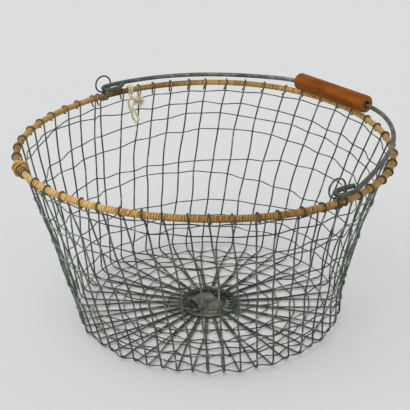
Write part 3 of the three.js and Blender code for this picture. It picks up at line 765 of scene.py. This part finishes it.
class SetStage(bpy.types.Operator):
    """Sets up the camera, the soft studio light and the pale floor."""

    bl_idname = "wire_basket.set_stage"
    bl_label = "Set the stage"

    def execute(self, context):
        scene = context.scene
        tones = scene.basket_colours
        scene.view_settings.view_transform = "Standard"
        self.place_camera(scene)
        self.lay_floor(scene, tones.floor)
        self.light_world(scene, tones.floor)
        self.hang_lamp(scene)
        return {"FINISHED"}

    def place_camera(self, scene):
        back = Vector((0, -cosine(CAMERA_ELEVATION), sine(CAMERA_ELEVATION)))
        data = bpy.data.cameras.new("photo_camera")
        data.lens = CAMERA_LENS
        data.clip_start, data.clip_end = CAMERA_CLIP
        camera = bpy.data.objects.new("photo_camera", data)
        turn = (-back).to_track_quat("-Z", "Y").to_matrix() @ Matrix.Rotation(CAMERA_ROLL, 3, "Z")
        camera.matrix_world = Matrix.LocRotScale(CAMERA_TARGET + back * CAMERA_DISTANCE, turn, None)
        scene.collection.objects.link(camera)
        scene.camera = camera

    def lay_floor(self, scene, tone):
        form = bmesh.new()
        bmesh.ops.create_circle(form, cap_ends=True, segments=96, radius=FLOOR_RADIUS)
        mesh = bpy.data.meshes.new("studio_floor")
        form.to_mesh(mesh)
        form.free()
        mesh.materials.append(seamless_paper("seamless_paper", tone))
        floor = bpy.data.objects.new("studio_floor", mesh)
        scene.collection.objects.link(floor)

    def light_world(self, scene, tone):
        """Even light from all round; what the camera and reflections see of it is the tone of the paper."""
        world = bpy.data.worlds.new("studio_world")
        world.use_nodes = True
        tree = world.node_tree
        seen = 0
        for ray in ("Is Camera Ray", "Is Glossy Ray", "Is Transmission Ray"):
            seen = add(tree, "Math", {0: seen, 1: add(tree, "LightPath", {}, ray)}, operation="MAXIMUM")
        tones = {MIX_FACTOR: seen, MIX_A: (*grey(ROUND_LIGHT), 1), MIX_B: (*tone, 1)}
        shown = add(tree, "Mix", tones, MIX_RESULT, data_type="RGBA")
        feed(tree, tree.nodes["Background"], {"Color": shown})
        scene.world = world

    def hang_lamp(self, scene):
        """One broad lamp, far off to the upper left, so that the paper is lit evenly."""
        data = bpy.data.lights.new("key_softbox", "SUN")
        data.energy = KEY_LIGHT
        data.angle = math.radians(KEY_WIDTH)
        lamp = bpy.data.objects.new("key_softbox", data)
        lamp.rotation_euler = KEY_AIM.to_track_quat("-Z", "Y").to_euler()
        scene.collection.objects.link(lamp)


def twine_azimuth():
    return sum(hook_azimuth(leg) for leg in TWINE_LEGS) / 2


def beside_wall(drop, along, inset):
    """A place by the twine in millimetres: drop below the hoop, distance along it, inset from the wall."""
    middle = sum((straight_wall_point(leg, drop_share(leg, drop * MM)) for leg in TWINE_LEGS), Vector()) / 2
    return middle + polar(-inset * MM, twine_azimuth()) + polar(along * MM, twine_azimuth() + 90)


def lay_plies(line, count, offset, lay):
    """The lines of the plies that twist round a cord, one full twist in each lay length."""
    normal = Vector((0.3, 0.5, 0.8))
    plies = [[] for _ in range(count)]
    last = len(line) - 1
    travelled = 0.0
    for index, point in enumerate(line):
        tangent = (line[min(index + 1, last)] - line[max(index - 1, 0)]).normalized()
        normal = (normal - tangent * normal.dot(tangent)).normalized()
        side = tangent.cross(normal)
        if index:
            travelled += (point - line[index - 1]).length
        for ply in range(count):
            turn = 360 * (travelled / lay + ply / count)
            plies[ply].append(point + offset * (normal * cosine(turn) + side * sine(turn)))
    return plies


def winding_line(azimuth, radius, turns, pitch, start_turn, steps):
    """A line that winds round the hoop and climbs along it from one side of an azimuth to the other."""
    line = []
    for step in range(round(turns * steps) + 1):
        along = pitch * (step / steps - turns / 2)
        place = azimuth + math.degrees(along / hoop_reach(azimuth))
        line.append(around_hoop(place, radius, start_turn + 360 * step / steps))
    return line


class TieTwine(bpy.types.Operator):
    """Ties the twine: a hitch round the hoop, a frayed knot and a loop that hangs from it."""

    bl_idname = "wire_basket.tie_twine"
    bl_label = "Tie the twine"

    def execute(self, context):
        sizes = context.scene.basket_sizes
        tones = context.scene.basket_colours
        string = cotton_string("aged_cotton_string", tones.string_light, tones.string_dark)
        thick = sizes.twine_diameter
        knot_place = beside_wall(*KNOT_PLACE)

        hitch_radius = WRAP_RADIUS + thick / 2
        turns = winding_line(twine_azimuth(), hitch_radius, HITCH_TURNS, HITCH_PITCH, -90, HITCH_STEPS)
        below = beside_wall(*HITCH_TAIL)
        tail = flow([turns[-1], below, self.beside_knot(knot_place, below)], 12)
        hitch_mesh = self.string_mesh(turns[:-1] + tail, thick)
        hitch = add_piece("twine_hitch_string", hitch_mesh, string, ["twine_hitch"])
        knot_mesh = self.knot_mesh(knot_place, thick, sizes.fray_count)
        knot = add_piece("twine_knot_frayed", knot_mesh, string, ["twine_knot"])

        loop_line = flow(self.loop_points(knot_place), 10)
        loop_mesh = self.string_mesh(loop_line, thick)
        loop = add_piece("twine_loop_string", loop_mesh, string, ["twine_loop"])
        return {"FINISHED"}

    def beside_knot(self, knot_place, point):
        """The place just clear of the knot on the way from it to a point."""
        return knot_place + (point - knot_place).normalized() * KNOT_REACH

    def string_mesh(self, line, thick):
        return sweep(lay_plies(line, PLY_COUNT, PLY_OFFSET * thick, PLY_LAY * thick), thick / 2, 8)

    def loop_points(self, knot_place):
        """The loop leaves the knot beside the hitch, hangs inside the wall and comes back beside itself."""
        drape = [beside_wall(*place) for place in LOOP_PLACES]
        return [self.beside_knot(knot_place, drape[0]), *drape, self.beside_knot(knot_place, drape[-1])]

    def knot_mesh(self, centre, thick, fray_count):
        """A trefoil of string, flattened towards the wall, with loose fibres round it."""
        line = []
        for step in range(KNOT_STEPS + 1):
            turn = 360 * step / KNOT_STEPS
            out = polar(KNOT_UNIT * (cosine(turn) - 2 * cosine(2 * turn)), twine_azimuth())
            beside = polar(KNOT_UNIT * (sine(turn) + 2 * sine(2 * turn)), twine_azimuth() + 90)
            rise = Vector((0, 0, -KNOT_HEIGHT * KNOT_UNIT * sine(3 * turn)))
            line.append(centre + rise + out * KNOT_DEPTH + beside)
        form = bmesh.new()
        form.from_mesh(self.string_mesh(line, thick))
        form.from_mesh(sweep(self.fray_lines(centre, fray_count), FRAY_DIAMETER, 4))
        return mesh_from(form)

    def fray_lines(self, centre, count):
        draw = random.Random(FRAY_SEED)
        lines = []
        for _ in range(count):
            aim = Vector((draw.gauss(0.35, 0.6), draw.gauss(-0.3, 0.6), draw.gauss(-0.05, 0.6))).normalized()
            reach = draw.uniform(*FRAY_REACH) * MM
            curl = Vector((draw.gauss(0, 1), draw.gauss(0, 1), draw.gauss(-0.4, 1))) * FRAY_CURL
            middle = centre + aim * reach * 0.7 + curl * 0.6
            lines.append(flow([centre + aim * reach * 0.3, middle, centre + aim * reach + curl], 3))
        return lines


class BendStakes(bpy.types.Operator):
    """Bends the stake hairpins from the hub over the base, up the wall and round the hoop."""

    bl_idname = "wire_basket.bend_stakes"
    bl_label = "Bend the stakes"

    def execute(self, context):
        sizes = context.scene.basket_sizes
        tones = context.scene.basket_colours
        hooks = ("Z", HOOP_HEIGHT - 30 * MM, HOOP_HEIGHT - 6 * MM)
        steel = zinc_wire(
            "galvanised_stake_wire", tones, 14 * MM, 0.64,
            zones=[
                # Painted light: the stakes at the front of the wall are lightened
                ([("Y", -100 * MM, -160 * MM)], tones.zinc_worn_and_lit, 0.3),
                # Painted highlight on the stakes of the left and right walls
                ([("X", -100 * MM, -150 * MM), ("Y", 40 * MM, -40 * MM)], tones.zinc_side_highlight, 0.15),
                ([("X", 110 * MM, 160 * MM), ("Y", 20 * MM, -60 * MM)], tones.zinc_side_highlight, 0.15),
                ([hooks, ("Y", 60 * MM, -20 * MM)], tones.zinc_tarnished, 0.7),
                ([hooks, ("X", -60 * MM, -140 * MM)], tones.zinc_olive, 0.75),
                ([hooks, ("Y", 20 * MM, 100 * MM)], tones.zinc_worn_and_lit, 0.5),
            ],
            spots=[((0, 0, SPOKE_HEIGHT), 70 * MM, tones.zinc_dark, 0.5)],
        )
        for pair in range(PAIR_COUNT):
            mesh = sweep([self.hairpin_line(pair)], sizes.stake_diameter, 10)
            nodes = [numbered("stake_wire", pair)]
            add_piece(numbered("stake_hairpin", pair), mesh, steel, nodes)
        return {"FINISHED"}

    def hairpin_line(self, pair):
        first = 2 * pair
        tip = []
        for turn in (-60, -30, 0, 30, 60):
            inward = polar(-PAIR_GAP / 2 * cosine(turn), pair_azimuth(first))
            beside = polar(PAIR_GAP / 2 * sine(turn), pair_azimuth(first) + 90)
            tip.append(polar(TIP_RADIUS, pair_azimuth(first), HUB_SPOKE_HEIGHT) + inward + beside)
        return self.leg_line(first)[::-1] + tip + self.leg_line(first + 1)

    def leg_line(self, leg):
        hub_edge = HUB_RADIUS + 2 * MM
        line = [spoke_point(leg, TIP_RADIUS, HUB_SPOKE_HEIGHT), spoke_point(leg, hub_edge, SPOKE_HEIGHT)]
        for step in range(1, SPOKE_STEPS):
            line.append(base_point(leg, hub_edge + (FLAT_END - hub_edge) * step / SPOKE_STEPS))
        line += [bend_point(leg, turn) for turn in range(0, 90, 10)]
        line += [wall_point(leg, step / WALL_STEPS) for step in range(WALL_STEPS - 1)]
        azimuth = hook_azimuth(leg)
        beside = polar(1, azimuth + 90)
        top = len(line) - 3
        for index in range(top, len(line)):
            line[index] = line[index] - beside * HOOK_FORK * ease(index, top - 1, len(line))
        for step in range(HOOK_STEPS + 1):
            drift = (HOOK_DRIFT + HOOK_FORK) * ease(step, 0, HOOK_STEPS) - HOOK_FORK
            line.append(around_hoop(azimuth, HOOK_RADIUS, 180 - HOOK_WRAP * step / HOOK_STEPS, drift))
        return line[:-1] + flow(self.tail_points(leg, line[-1]), 4)

    def tail_points(self, leg, start):
        """The hook's tail, which turns in under the hoop and ends against the stake, above the first row."""
        azimuth = hook_azimuth(leg)
        row_level = WALL_FOOT + (hoop_level(azimuth) - WALL_FOOT) * row_share(0, leg)
        end_drop = min(hoop_level(azimuth) - row_level - TAIL_ROOM, TAIL_DROP)
        below = around_hoop(azimuth, HOOK_RADIUS, TAIL_TURN, HOOK_DRIFT)
        if end_drop < TAIL_LEAST or abs(azimuth - JOINT_AZIMUTH) < TUCKED_TAILS:
            return [start, below, around_hoop(azimuth, HOOK_RADIUS, TUCK_TURN, HOOK_DRIFT)]
        beside = polar(TAIL_ALONG, azimuth + 90) + polar(TAIL_OUT, azimuth)
        return [start, below, wall_point(leg, drop_share(leg, end_drop)) + beside]


class WeaveWefts(bpy.types.Operator):
    """Weaves the thin wires over and under the stakes in the wall, the foot and the base."""

    bl_idname = "wire_basket.weave_wefts"
    bl_label = "Weave the wefts"

    def execute(self, context):
        sizes = context.scene.basket_sizes
        tones = context.scene.basket_colours
        steel = zinc_wire(
            "galvanised_weft_wire", tones, 11 * MM, 0.66,
            zones=[
                # Painted highlight on the wefts of the left and right walls
                ([("X", -90 * MM, -150 * MM), ("Y", 60 * MM, -20 * MM)], tones.zinc_side_highlight, 0.6),
                ([("X", 110 * MM, 160 * MM), ("Y", 20 * MM, -60 * MM)], tones.zinc_side_highlight, 0.4),
            ],
        )
        lift = (sizes.stake_diameter + sizes.weft_diameter) / 2 + WEFT_ROOM
        rows = []
        for index in range(len(WALL_ROWS)):
            ring = [self.wall_crossing(index, leg, lift) for leg in range(STAKE_COUNT)]
            rows.append((numbered("weft_wall", index), ring, WALL_ROW_START * index))
        ring = [bend_point(leg, FOOT_ROW_TURN, weave_side(leg, 1) * lift) for leg in range(STAKE_COUNT)]
        rows.append((numbered("weft_foot", 0), ring, FOOT_ROW_START))
        for index, row in enumerate(BASE_ROWS):
            ring = self.base_ring(row, index, lift)
            rows.append((numbered("weft_base", index), ring, BASE_ROW_START * index))
        for node, ring, start in rows:
            mesh = sweep([self.ring_line(ring, start)], sizes.weft_diameter, 8)
            add_piece(f"{node}_wire", mesh, steel, [node])
        return {"FINISHED"}

    def wall_crossing(self, index, leg, lift):
        outward = polar(weave_side(leg, index) * lift, hook_azimuth(leg))
        slip = WEFT_SLIP * noise.noise(Vector((2.3 * leg, 7.1 * index, 0.5))) if index else 0
        return wall_point(leg, row_share(index, leg) + slip) + outward

    def base_ring(self, row, index, lift):
        share, sway, sway_azimuth, weaves_pairs = row
        ring = []
        for leg in range(0, STAKE_COUNT, 2 if weaves_pairs else 1):
            radius = share * BASE_RADIUS + sway * cosine(2 * (pair_azimuth(leg) - sway_azimuth))
            point = base_point(leg, radius)
            crossed = leg
            if weaves_pairs:
                point = (point + base_point(leg + 1, radius)) / 2
                crossed = leg // 2
            point.z += weave_side(crossed, index) * lift
            ring.append(point)
        return ring

    def ring_line(self, ring, start):
        """One turn of a row, with its two ends meeting between two stakes."""
        count = len(ring)
        start %= count
        turned = ring[start:] + ring[:start]
        line = flow(turned[-2:] + turned + turned[:2], WEFT_STEPS)
        cut = 3 * WEFT_STEPS // 2
        return line[cut:-cut]


def old_stretch(azimuth):
    """How brown the cane has become at an azimuth, from 0 to 1."""
    worn = 0.0
    for middle, half, depth in OLD_STRETCHES:
        away = (azimuth - middle + 180) % 360 - 180
        worn = max(worn, depth * max(0.0, 1 - (away / half) ** 2))
    return worn


class BindHoop(bpy.types.Operator):
    """Winds split cane round the hoop and lashes its joint."""

    bl_idname = "wire_basket.bind_hoop"
    bl_label = "Bind the hoop"

    def execute(self, context):
        sizes = context.scene.basket_sizes
        tones = context.scene.basket_colours
        steel = zinc_wire("galvanised_core_wire", tones, 14 * MM, 0.62)
        cane = split_cane("split_rattan_cane", tones.cane_light, tones.cane_dark, tones.cane_age_and_shade)
        core_line = []
        for step in range(CORE_STEPS + 1):
            turn = CORE_GAP / 2 + (360 - CORE_GAP) * step / CORE_STEPS
            core_line.append(around_hoop(JOINT_AZIMUTH + turn, 0, 0))
        core = sweep([core_line], CORE_DIAMETER, 10)
        binding = self.binding_mesh(sizes.cane_pitch)
        lashing = self.lashing_mesh(sizes.lashing_diameter)
        add_piece("hoop_core_wire", core, steel, ["hoop_core"])
        add_piece("hoop_cane_binding", binding, cane, ["hoop_wrap"])
        add_piece("hoop_cane_lashing", lashing, cane, ["hoop_lashing"])
        return {"FINISHED"}

    def binding_mesh(self, pitch):
        """A flat strip of cane wound as a straight coil, then laid round the hoop."""
        turns = int(2 * math.pi * HOOP_RADIUS / pitch)
        half = CANE_HALF * pitch
        right = [
            (0.8 * half, WRAP_RADIUS - CANE_SHOULDER), (half, WRAP_RADIUS - CANE_FLANK),
            (half, CORE_DIAMETER / 2 + CANE_ROOM),
        ]
        left = [(-x, y) for x, y in reversed(right)]
        form = self.coil([*left, (0, WRAP_RADIUS), *right], pitch, turns)
        winding, across, age_and_shade = (form.verts.layers.float.new(layer) for layer in CANE_LAYERS)
        for vert in form.verts:
            turn = math.degrees(math.atan2(vert.co.z, vert.co.y))
            count = round(vert.co.x / pitch - turn / 360) + turn / 360
            radius = math.hypot(vert.co.y, vert.co.z)
            lift = CANE_WAVER * noise.noise(Vector((count * 0.9, 0.3, 0.7)))
            azimuth = JOINT_AZIMUTH + 360 * (vert.co.x + half) / (pitch * (turns + 1))
            vert[winding] = count
            # The strip's edges are darkened by the cane's material: dirt and painted shade in the gaps
            # between turns
            vert[across] = vert.co.x / pitch - count
            # Painted shade: the underside of each turn is browned on top of the old stretches
            vert[age_and_shade] = min(1.0, old_stretch(azimuth) + UNDERSIDE_SHADE * max(0.0, -sine(turn)))
            vert.co = around_hoop(azimuth, radius + lift, turn)
        return mesh_from(form)

    def coil(self, outline, pitch, turns):
        """One turn is spun from the section and repeated along X, and the two open ends are closed."""
        points = [(x, y, 0) for x, y in outline]
        climb = (pitch / CANE_STEPS, 0, 0)
        form = spun(points, True, (1, 0, 0), CANE_STEPS, dvec=climb, use_merge=False)
        holder = bpy.data.objects.new("cane_turn", mesh_from(form))
        array = holder.modifiers.new("turns", "ARRAY")
        array.count = turns
        array.use_relative_offset = False
        array.use_constant_offset = True
        array.constant_offset_displace = (pitch, 0, 0)
        array.use_merge_vertices = True
        array.merge_threshold = WELD
        form = bmesh.new()
        form.from_mesh(settled(holder))
        bmesh.ops.holes_fill(form, edges=[edge for edge in form.edges if edge.is_boundary], sides=0)
        return form

    def lashing_mesh(self, thick):
        """A layer of turns along the joint, and two shorter ones over it that slant one way and the other."""
        lines = []
        outwards = []
        for turns, pitch, rise, start, slant in LASHING_LAYERS:
            radius = WRAP_RADIUS + rise * thick
            line = winding_line(JOINT_AZIMUTH, radius, turns, pitch, start, LASHING_STEPS)
            axis = winding_line(JOINT_AZIMUTH, 0, turns, pitch, start, LASHING_STEPS)
            outwards += [(point - middle).normalized() for point, middle in zip(line, axis)]
            for step, point in enumerate(line):
                turn = start + 360 * step / LASHING_STEPS
                along = polar(slant * cosine(turn - LASHING_SLANT_TURN), JOINT_AZIMUTH + 90)
                slack = noise.noise_vector(point / LASHING_SLACK_LENGTH) * LASHING_SLACK * rise
                line[step] = point + along + slack
            lines.append(line)
        mesh = sweep(lines, thick, 8)
        near = kdtree.KDTree(len(outwards))
        for index, point in enumerate(sum(lines, [])):
            near.insert(point, index)
        near.balance()
        layers = [mesh.attributes.new(layer, "FLOAT", "POINT") for layer in CANE_LAYERS]
        for vert in mesh.vertices:
            point, index, _ = near.find(vert.co)
            winding = index / LASHING_STEPS
            # Painted shade between the strands: the sides of each strand, and the side towards the hoop,
            # count as strip edges, which the cane's material darkens
            across = 0.5 - max(0.0, outwards[index].dot(vert.co - point)) / thick
            age_and_shade = max(0.0, 0.22 + 0.8 * noise.noise(Vector((1.7 * winding, 0.5, 0.2))))
            for layer, value in zip(layers, (winding, across, age_and_shade)):
                layer.data[vert.index].value = value
        return mesh


class HangEars(bpy.types.Operator):
    """Bends the two ears that carry the bail."""

    bl_idname = "wire_basket.hang_ears"
    bl_label = "Hang the ears"

    def execute(self, context):
        sizes = context.scene.basket_sizes
        tones = context.scene.basket_colours
        steel = zinc_wire("galvanised_ear_wire", tones, 12 * MM, 0.62)
        for node, azimuth in (("ear_right", HINGE_AZIMUTH), ("ear_left", HINGE_AZIMUTH + 180)):
            mesh = sweep([self.ear_line(azimuth)], sizes.ear_diameter, 10)
            add_piece(f"{node}_wire", mesh, steel, [node])
        return {"FINISHED"}

    def ear_line(self, azimuth):
        """One foot wound round the hoop, the loop that stands on it and the other foot."""
        line = [self.foot_point(azimuth, turn) for turn in range(-EAR_FOOT_TURN, 0, TURN_STEP)]
        for step in range(EAR_STEPS + 1):
            turn = 360 * step / EAR_STEPS - 90
            height = EAR_FOOT_RADIUS + EAR_LOOP_RADIUS + EAR_LOOP_RADIUS * sine(turn)
            point = around_hoop(azimuth, height, 90, EAR_LOOP_RADIUS * cosine(turn))
            line.append(point + polar(EAR_CROSSING * (1 - 2 * step / EAR_STEPS), azimuth))
        turns = range(TURN_STEP, EAR_FOOT_TURN + 1, TURN_STEP)
        return line + [self.foot_point(azimuth, turn) for turn in turns]

    def foot_point(self, azimuth, turn):
        """A point of a foot, by its turn from the top of the hoop."""
        along = EAR_FOOT_PITCH * turn / EAR_FOOT_TURN
        return around_hoop(azimuth, EAR_FOOT_RADIUS - EAR_FOOT_SINK, 90 + turn, along)


def joint_named(name):
    return next(joint for joint in frame["joints"] if joint["name"] == name)


def bail_frame():
    """The bail's own frame: X along the hinge, Y towards the wire in the grip, low in its bore."""
    swing = joint_named("bail_swing")
    along = Vector(swing["axis"]).normalized()
    origin = Vector(swing["pos_m"])
    to_grip = Vector(joint_named("grip_spin")["pos_m"]) - origin
    level = to_grip - along * to_grip.dot(along)
    towards = Matrix.Rotation(-math.asin(GRIP_LIFT / level.length), 3, along) @ level.normalized()
    turn = Matrix((along, towards, along.cross(towards))).transposed()
    return Matrix.LocRotScale(origin, turn, None)


def bail_reach():
    return (bail_frame().inverted() @ Vector(joint_named("grip_spin")["pos_m"])).y


class SwingBail(bpy.types.Operator):
    """Bends the bail, with a flat eye at each end that is linked into an ear."""

    bl_idname = "wire_basket.swing_bail"
    bl_label = "Swing the bail"

    def execute(self, context):
        sizes = context.scene.basket_sizes
        tones = context.scene.basket_colours
        place = bail_frame()
        line = [place @ point for point in self.half_line(1) + self.half_line(-1)[::-1]]
        skin_tones = (tones.bail_dark, tones.bail_middle, tones.bail_pale)
        zinc = weathered_zinc(
            "galvanised_bail_wire", skin_tones, tones.rust, 16 * MM, 0.7,
            zones=[
                ([("Y", -30 * MM, -140 * MM)], tones.bail_dark, 0.8),
                ([("X", -30 * MM, -110 * MM)], tones.bail_dark, 0.6),
            ],
            spots=[(place @ Vector((x, y, 0)), reach, tones.rust, 0.8) for x, y, reach in BAIL_RUST],
        )
        mesh = sweep([line], sizes.bail_diameter, 16)
        add_piece("bail_wire", mesh, zinc, ["bail"], "bail")
        return {"FINISHED"}

    def half_line(self, side):
        """From the eye's end, round the eye and along the bowed arm to the bend beside the grip."""
        azimuth, half = (HINGE_AZIMUTH, RIGHT_EYE_HALF) if side > 0 else (HINGE_AZIMUTH + 180, LEFT_EYE_HALF)
        eye = hoop_reach(azimuth) + EYE_OUTER - half
        foot = Vector((eye + half, EYE_SHOULDER))
        bend = Vector((GRIP_LENGTH / 2 + side * GRIP_OFFSET + BAIL_BEND_RUN, bail_reach()))
        chord = bend - foot
        outward = Vector((chord.y, -chord.x)).normalized()
        bow, skew = RIGHT_ARM if side > 0 else LEFT_ARM
        arm = []
        for step in range(ARM_STEPS):
            share = step / ARM_STEPS
            bowed = 4 * bow * share * (1 - share) * (1 + skew * (1 - 2 * share))
            arm.append(foot + chord * share + outward * bowed)
        leave = (arm[1] - foot).normalized()
        eye_end = foot + leave * EYE_END_RUN + Vector((-leave.y, leave.x)) * EYE_END_STEP
        shoulder = Vector((eye - half * 0.8, EYE_SHOULDER))
        points = [
            eye_end, (eye_end + shoulder) / 2, shoulder, Vector((eye - half * 0.97, EYE_SHOULDER * 0.66)),
        ]
        for turn in range(180, 361, 30):
            points.append(Vector((eye + half * cosine(turn), half + half * sine(turn))))
        points += [Vector((foot.x, (half + foot.y) / 2)), *arm]
        points += [bend - Vector((run, 0)) for run in (BAIL_BEND_RUN / 2, 2 * BAIL_BEND_RUN)]
        return flow([Vector((side * point.x, point.y, 0)) for point in points], 4)


class TurnGrip(bpy.types.Operator):
    """Turns the wooden grip, with its bore and rounded ends."""

    bl_idname = "wire_basket.turn_grip"
    bl_label = "Turn the grip"

    def execute(self, context):
        tones = context.scene.basket_colours
        spin = joint_named("grip_spin")
        axis = Vector(spin["axis"]).normalized()
        centre = Vector(spin["pos_m"])
        wood = varnished_wood(
            "varnished_turned_wood", tones.wood_light, tones.wood_dark, tones.wood_streak, tones.wood_end,
            centre, axis,
        )
        points = [(x, y, 0) for x, y in self.profile()]
        form = spun(points, True, (1, 0, 0), 48, use_merge=True)
        turn = axis.to_track_quat("X", "Z").to_matrix()
        bmesh.ops.transform(form, matrix=Matrix.LocRotScale(centre, turn, None), verts=form.verts)
        add_piece("grip_turned_wood", mesh_from(form), wood, ["grip"], "grip")
        return {"FINISHED"}

    def profile(self):
        """The grip's section from one end of the bore, over the outside, to the other."""
        half = GRIP_LENGTH / 2
        outline = [(-half, GRIP_BORE_RADIUS), (-half, GRIP_BORE_RADIUS + GRIP_END_FACE)]
        for turn in range(0, 91, TURN_STEP):
            reach = GRIP_RADIUS - GRIP_EDGE + GRIP_EDGE * sine(turn)
            outline.append((-half + GRIP_EDGE - GRIP_EDGE * cosine(turn), reach))
        right = [(-x, y) for x, y in reversed(outline)]
        middle = [(half * share, GRIP_RADIUS) for share in (-0.6, -0.3, 0, 0.3, 0.6)]
        return outline + middle + right


class RivetHub(bpy.types.Operator):
    """Cuts the hub's disc and plate and rivets them over the hairpins."""

    bl_idname = "wire_basket.rivet_hub"
    bl_label = "Rivet the hub"

    def execute(self, context):
        tones = context.scene.basket_colours
        skin_tones = (tones.zinc_dark, tones.zinc_sheet, tones.zinc_worn_and_lit)
        zinc = weathered_zinc(
            "weathered_zinc_sheet", skin_tones, tones.rust, 9 * MM, 0.72,
            spots=[((0, 0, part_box("hub_rivet")[1].z), 8 * MM, tones.rust, 0.12)],
        )
        dull_tones = (tones.zinc_dark, tones.zinc_middle, tones.zinc_sheet)
        dull = weathered_zinc(
            "tarnished_zinc_sheet", dull_tones, tones.rust, 9 * MM, 0.7,
            # Painted highlight along the front rim of the disc and its binding wire
            zones=[([("Y", -27 * MM, -33 * MM)], tones.zinc_worn_and_lit, 0.9)],
        )
        self.add_disc(dull)
        self.add_plate(zinc)
        self.add_rivet(zinc)
        self.add_binding(dull)
        return {"FINISHED"}

    def add_binding(self, steel):
        """A few close turns of thin wire that hold the spokes down beside the plate."""
        line = []
        for step in range(BINDING_TURNS * BINDING_STEPS + 1):
            turn = 360 * step / BINDING_STEPS
            radius = BINDING_RADIUS + BINDING_PITCH * step / BINDING_STEPS
            ripple = BINDING_RIPPLE * sine(PAIR_COUNT / 2 * turn)
            line.append(polar(radius, turn, HUB_SPOKE_HEIGHT + BINDING_LIFT + ripple))
        add_piece("hub_binding_wire", sweep([line], BINDING_DIAMETER, 8), steel, [])

    def add_disc(self, zinc):
        low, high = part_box("hub_disc")
        form = bmesh.new()
        bmesh.ops.create_circle(form, cap_ends=True, segments=72, radius=(high.x - low.x) / 2)
        self.raise_sheet(form, low.z, high.z)
        add_piece("hub_disc_sheet", mesh_from(form), zinc, ["hub_disc"])

    def add_plate(self, zinc):
        low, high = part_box("hub_top_plate")
        form = bmesh.new()
        form.faces.new([form.verts.new((x * MM, y * MM, 0)) for x, y in PLATE_CORNERS])
        self.raise_sheet(form, low.z, high.z)
        add_piece("hub_plate_sheet", mesh_from(form), zinc, ["hub_top_plate"])

    def raise_sheet(self, form, bottom, top):
        """Gives a flat outline the thickness of a sheet and eases its edges."""
        raised = bmesh.ops.extrude_face_region(form, geom=form.faces[:])["geom"]
        lifted = [item for item in raised if isinstance(item, bmesh.types.BMVert)]
        bmesh.ops.translate(form, vec=(0, 0, top - bottom), verts=lifted)
        bmesh.ops.translate(form, vec=(0, 0, bottom), verts=form.verts)
        rims = [edge for edge in form.edges if abs(edge.verts[0].co.z - edge.verts[1].co.z) < WELD]
        bmesh.ops.bevel(
            form, geom=rims, offset=SHEET_EASE, offset_type="OFFSET", affect="EDGES", segments=2, profile=0.5,
            material=-1,
        )

    def add_rivet(self, zinc):
        low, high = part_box("hub_rivet")
        radius = (high.x - low.x) / 2
        neck = high.z - RIVET_HEAD
        outline = [
            (0, low.z), (RIVET_SHANK_RADIUS, low.z), (RIVET_SHANK_RADIUS, neck), (radius * 0.95, neck),
        ]
        for turn in range(0, 91, TURN_STEP):
            outline.append((radius * cosine(turn), neck + (high.z - neck) * sine(turn)))
        form = spun([(x, 0, z) for x, z in outline], False, (0, 0, 1), 32, use_merge=True)
        bmesh.ops.remove_doubles(form, verts=form.verts, dist=WELD)
        add_piece("hub_rivet_head", mesh_from(form), zinc, ["hub_rivet"])


OPERATORS = (SetStage, TieTwine, BendStakes, WeaveWefts, BindHoop, HangEars, SwingBail, TurnGrip, RivetHub)


class BasketPanel(bpy.types.Panel):
    """Lists the steps that dress the basket and their settings."""

    bl_idname = "VIEW3D_PT_wire_basket"
    bl_label = "Wire basket"
    bl_space_type = "VIEW_3D"
    bl_region_type = "UI"
    bl_category = "Basket"

    def draw(self, context):
        for operator in OPERATORS:
            self.layout.operator(operator.bl_idname)
        for settings in (context.scene.basket_sizes, context.scene.basket_colours):
            for name in settings.__annotations__:
                self.layout.prop(settings, name)


CLASSES = (BasketSizes, BasketColours, *OPERATORS, BasketPanel)


def register():
    for cls in CLASSES:
        bpy.utils.register_class(cls)
    bpy.types.Scene.basket_sizes = PointerProperty(type=BasketSizes)
    bpy.types.Scene.basket_colours = PointerProperty(type=BasketColours)


def unregister():
    del bpy.types.Scene.basket_colours
    del bpy.types.Scene.basket_sizes
    for cls in reversed(CLASSES):
        bpy.utils.unregister_class(cls)


def main():
    noise.seed_set(BEND_SEED)
    register()
    bpy.ops.wire_basket.set_stage()
    bpy.ops.wire_basket.tie_twine()
    bpy.ops.wire_basket.bend_stakes()
    bpy.ops.wire_basket.weave_wefts()
    bpy.ops.wire_basket.bind_hoop()
    bpy.ops.wire_basket.hang_ears()
    bpy.ops.wire_basket.swing_bail()
    bpy.ops.wire_basket.turn_grip()
    bpy.ops.wire_basket.rivet_hub()


if __name__ == "__main__":
    main()
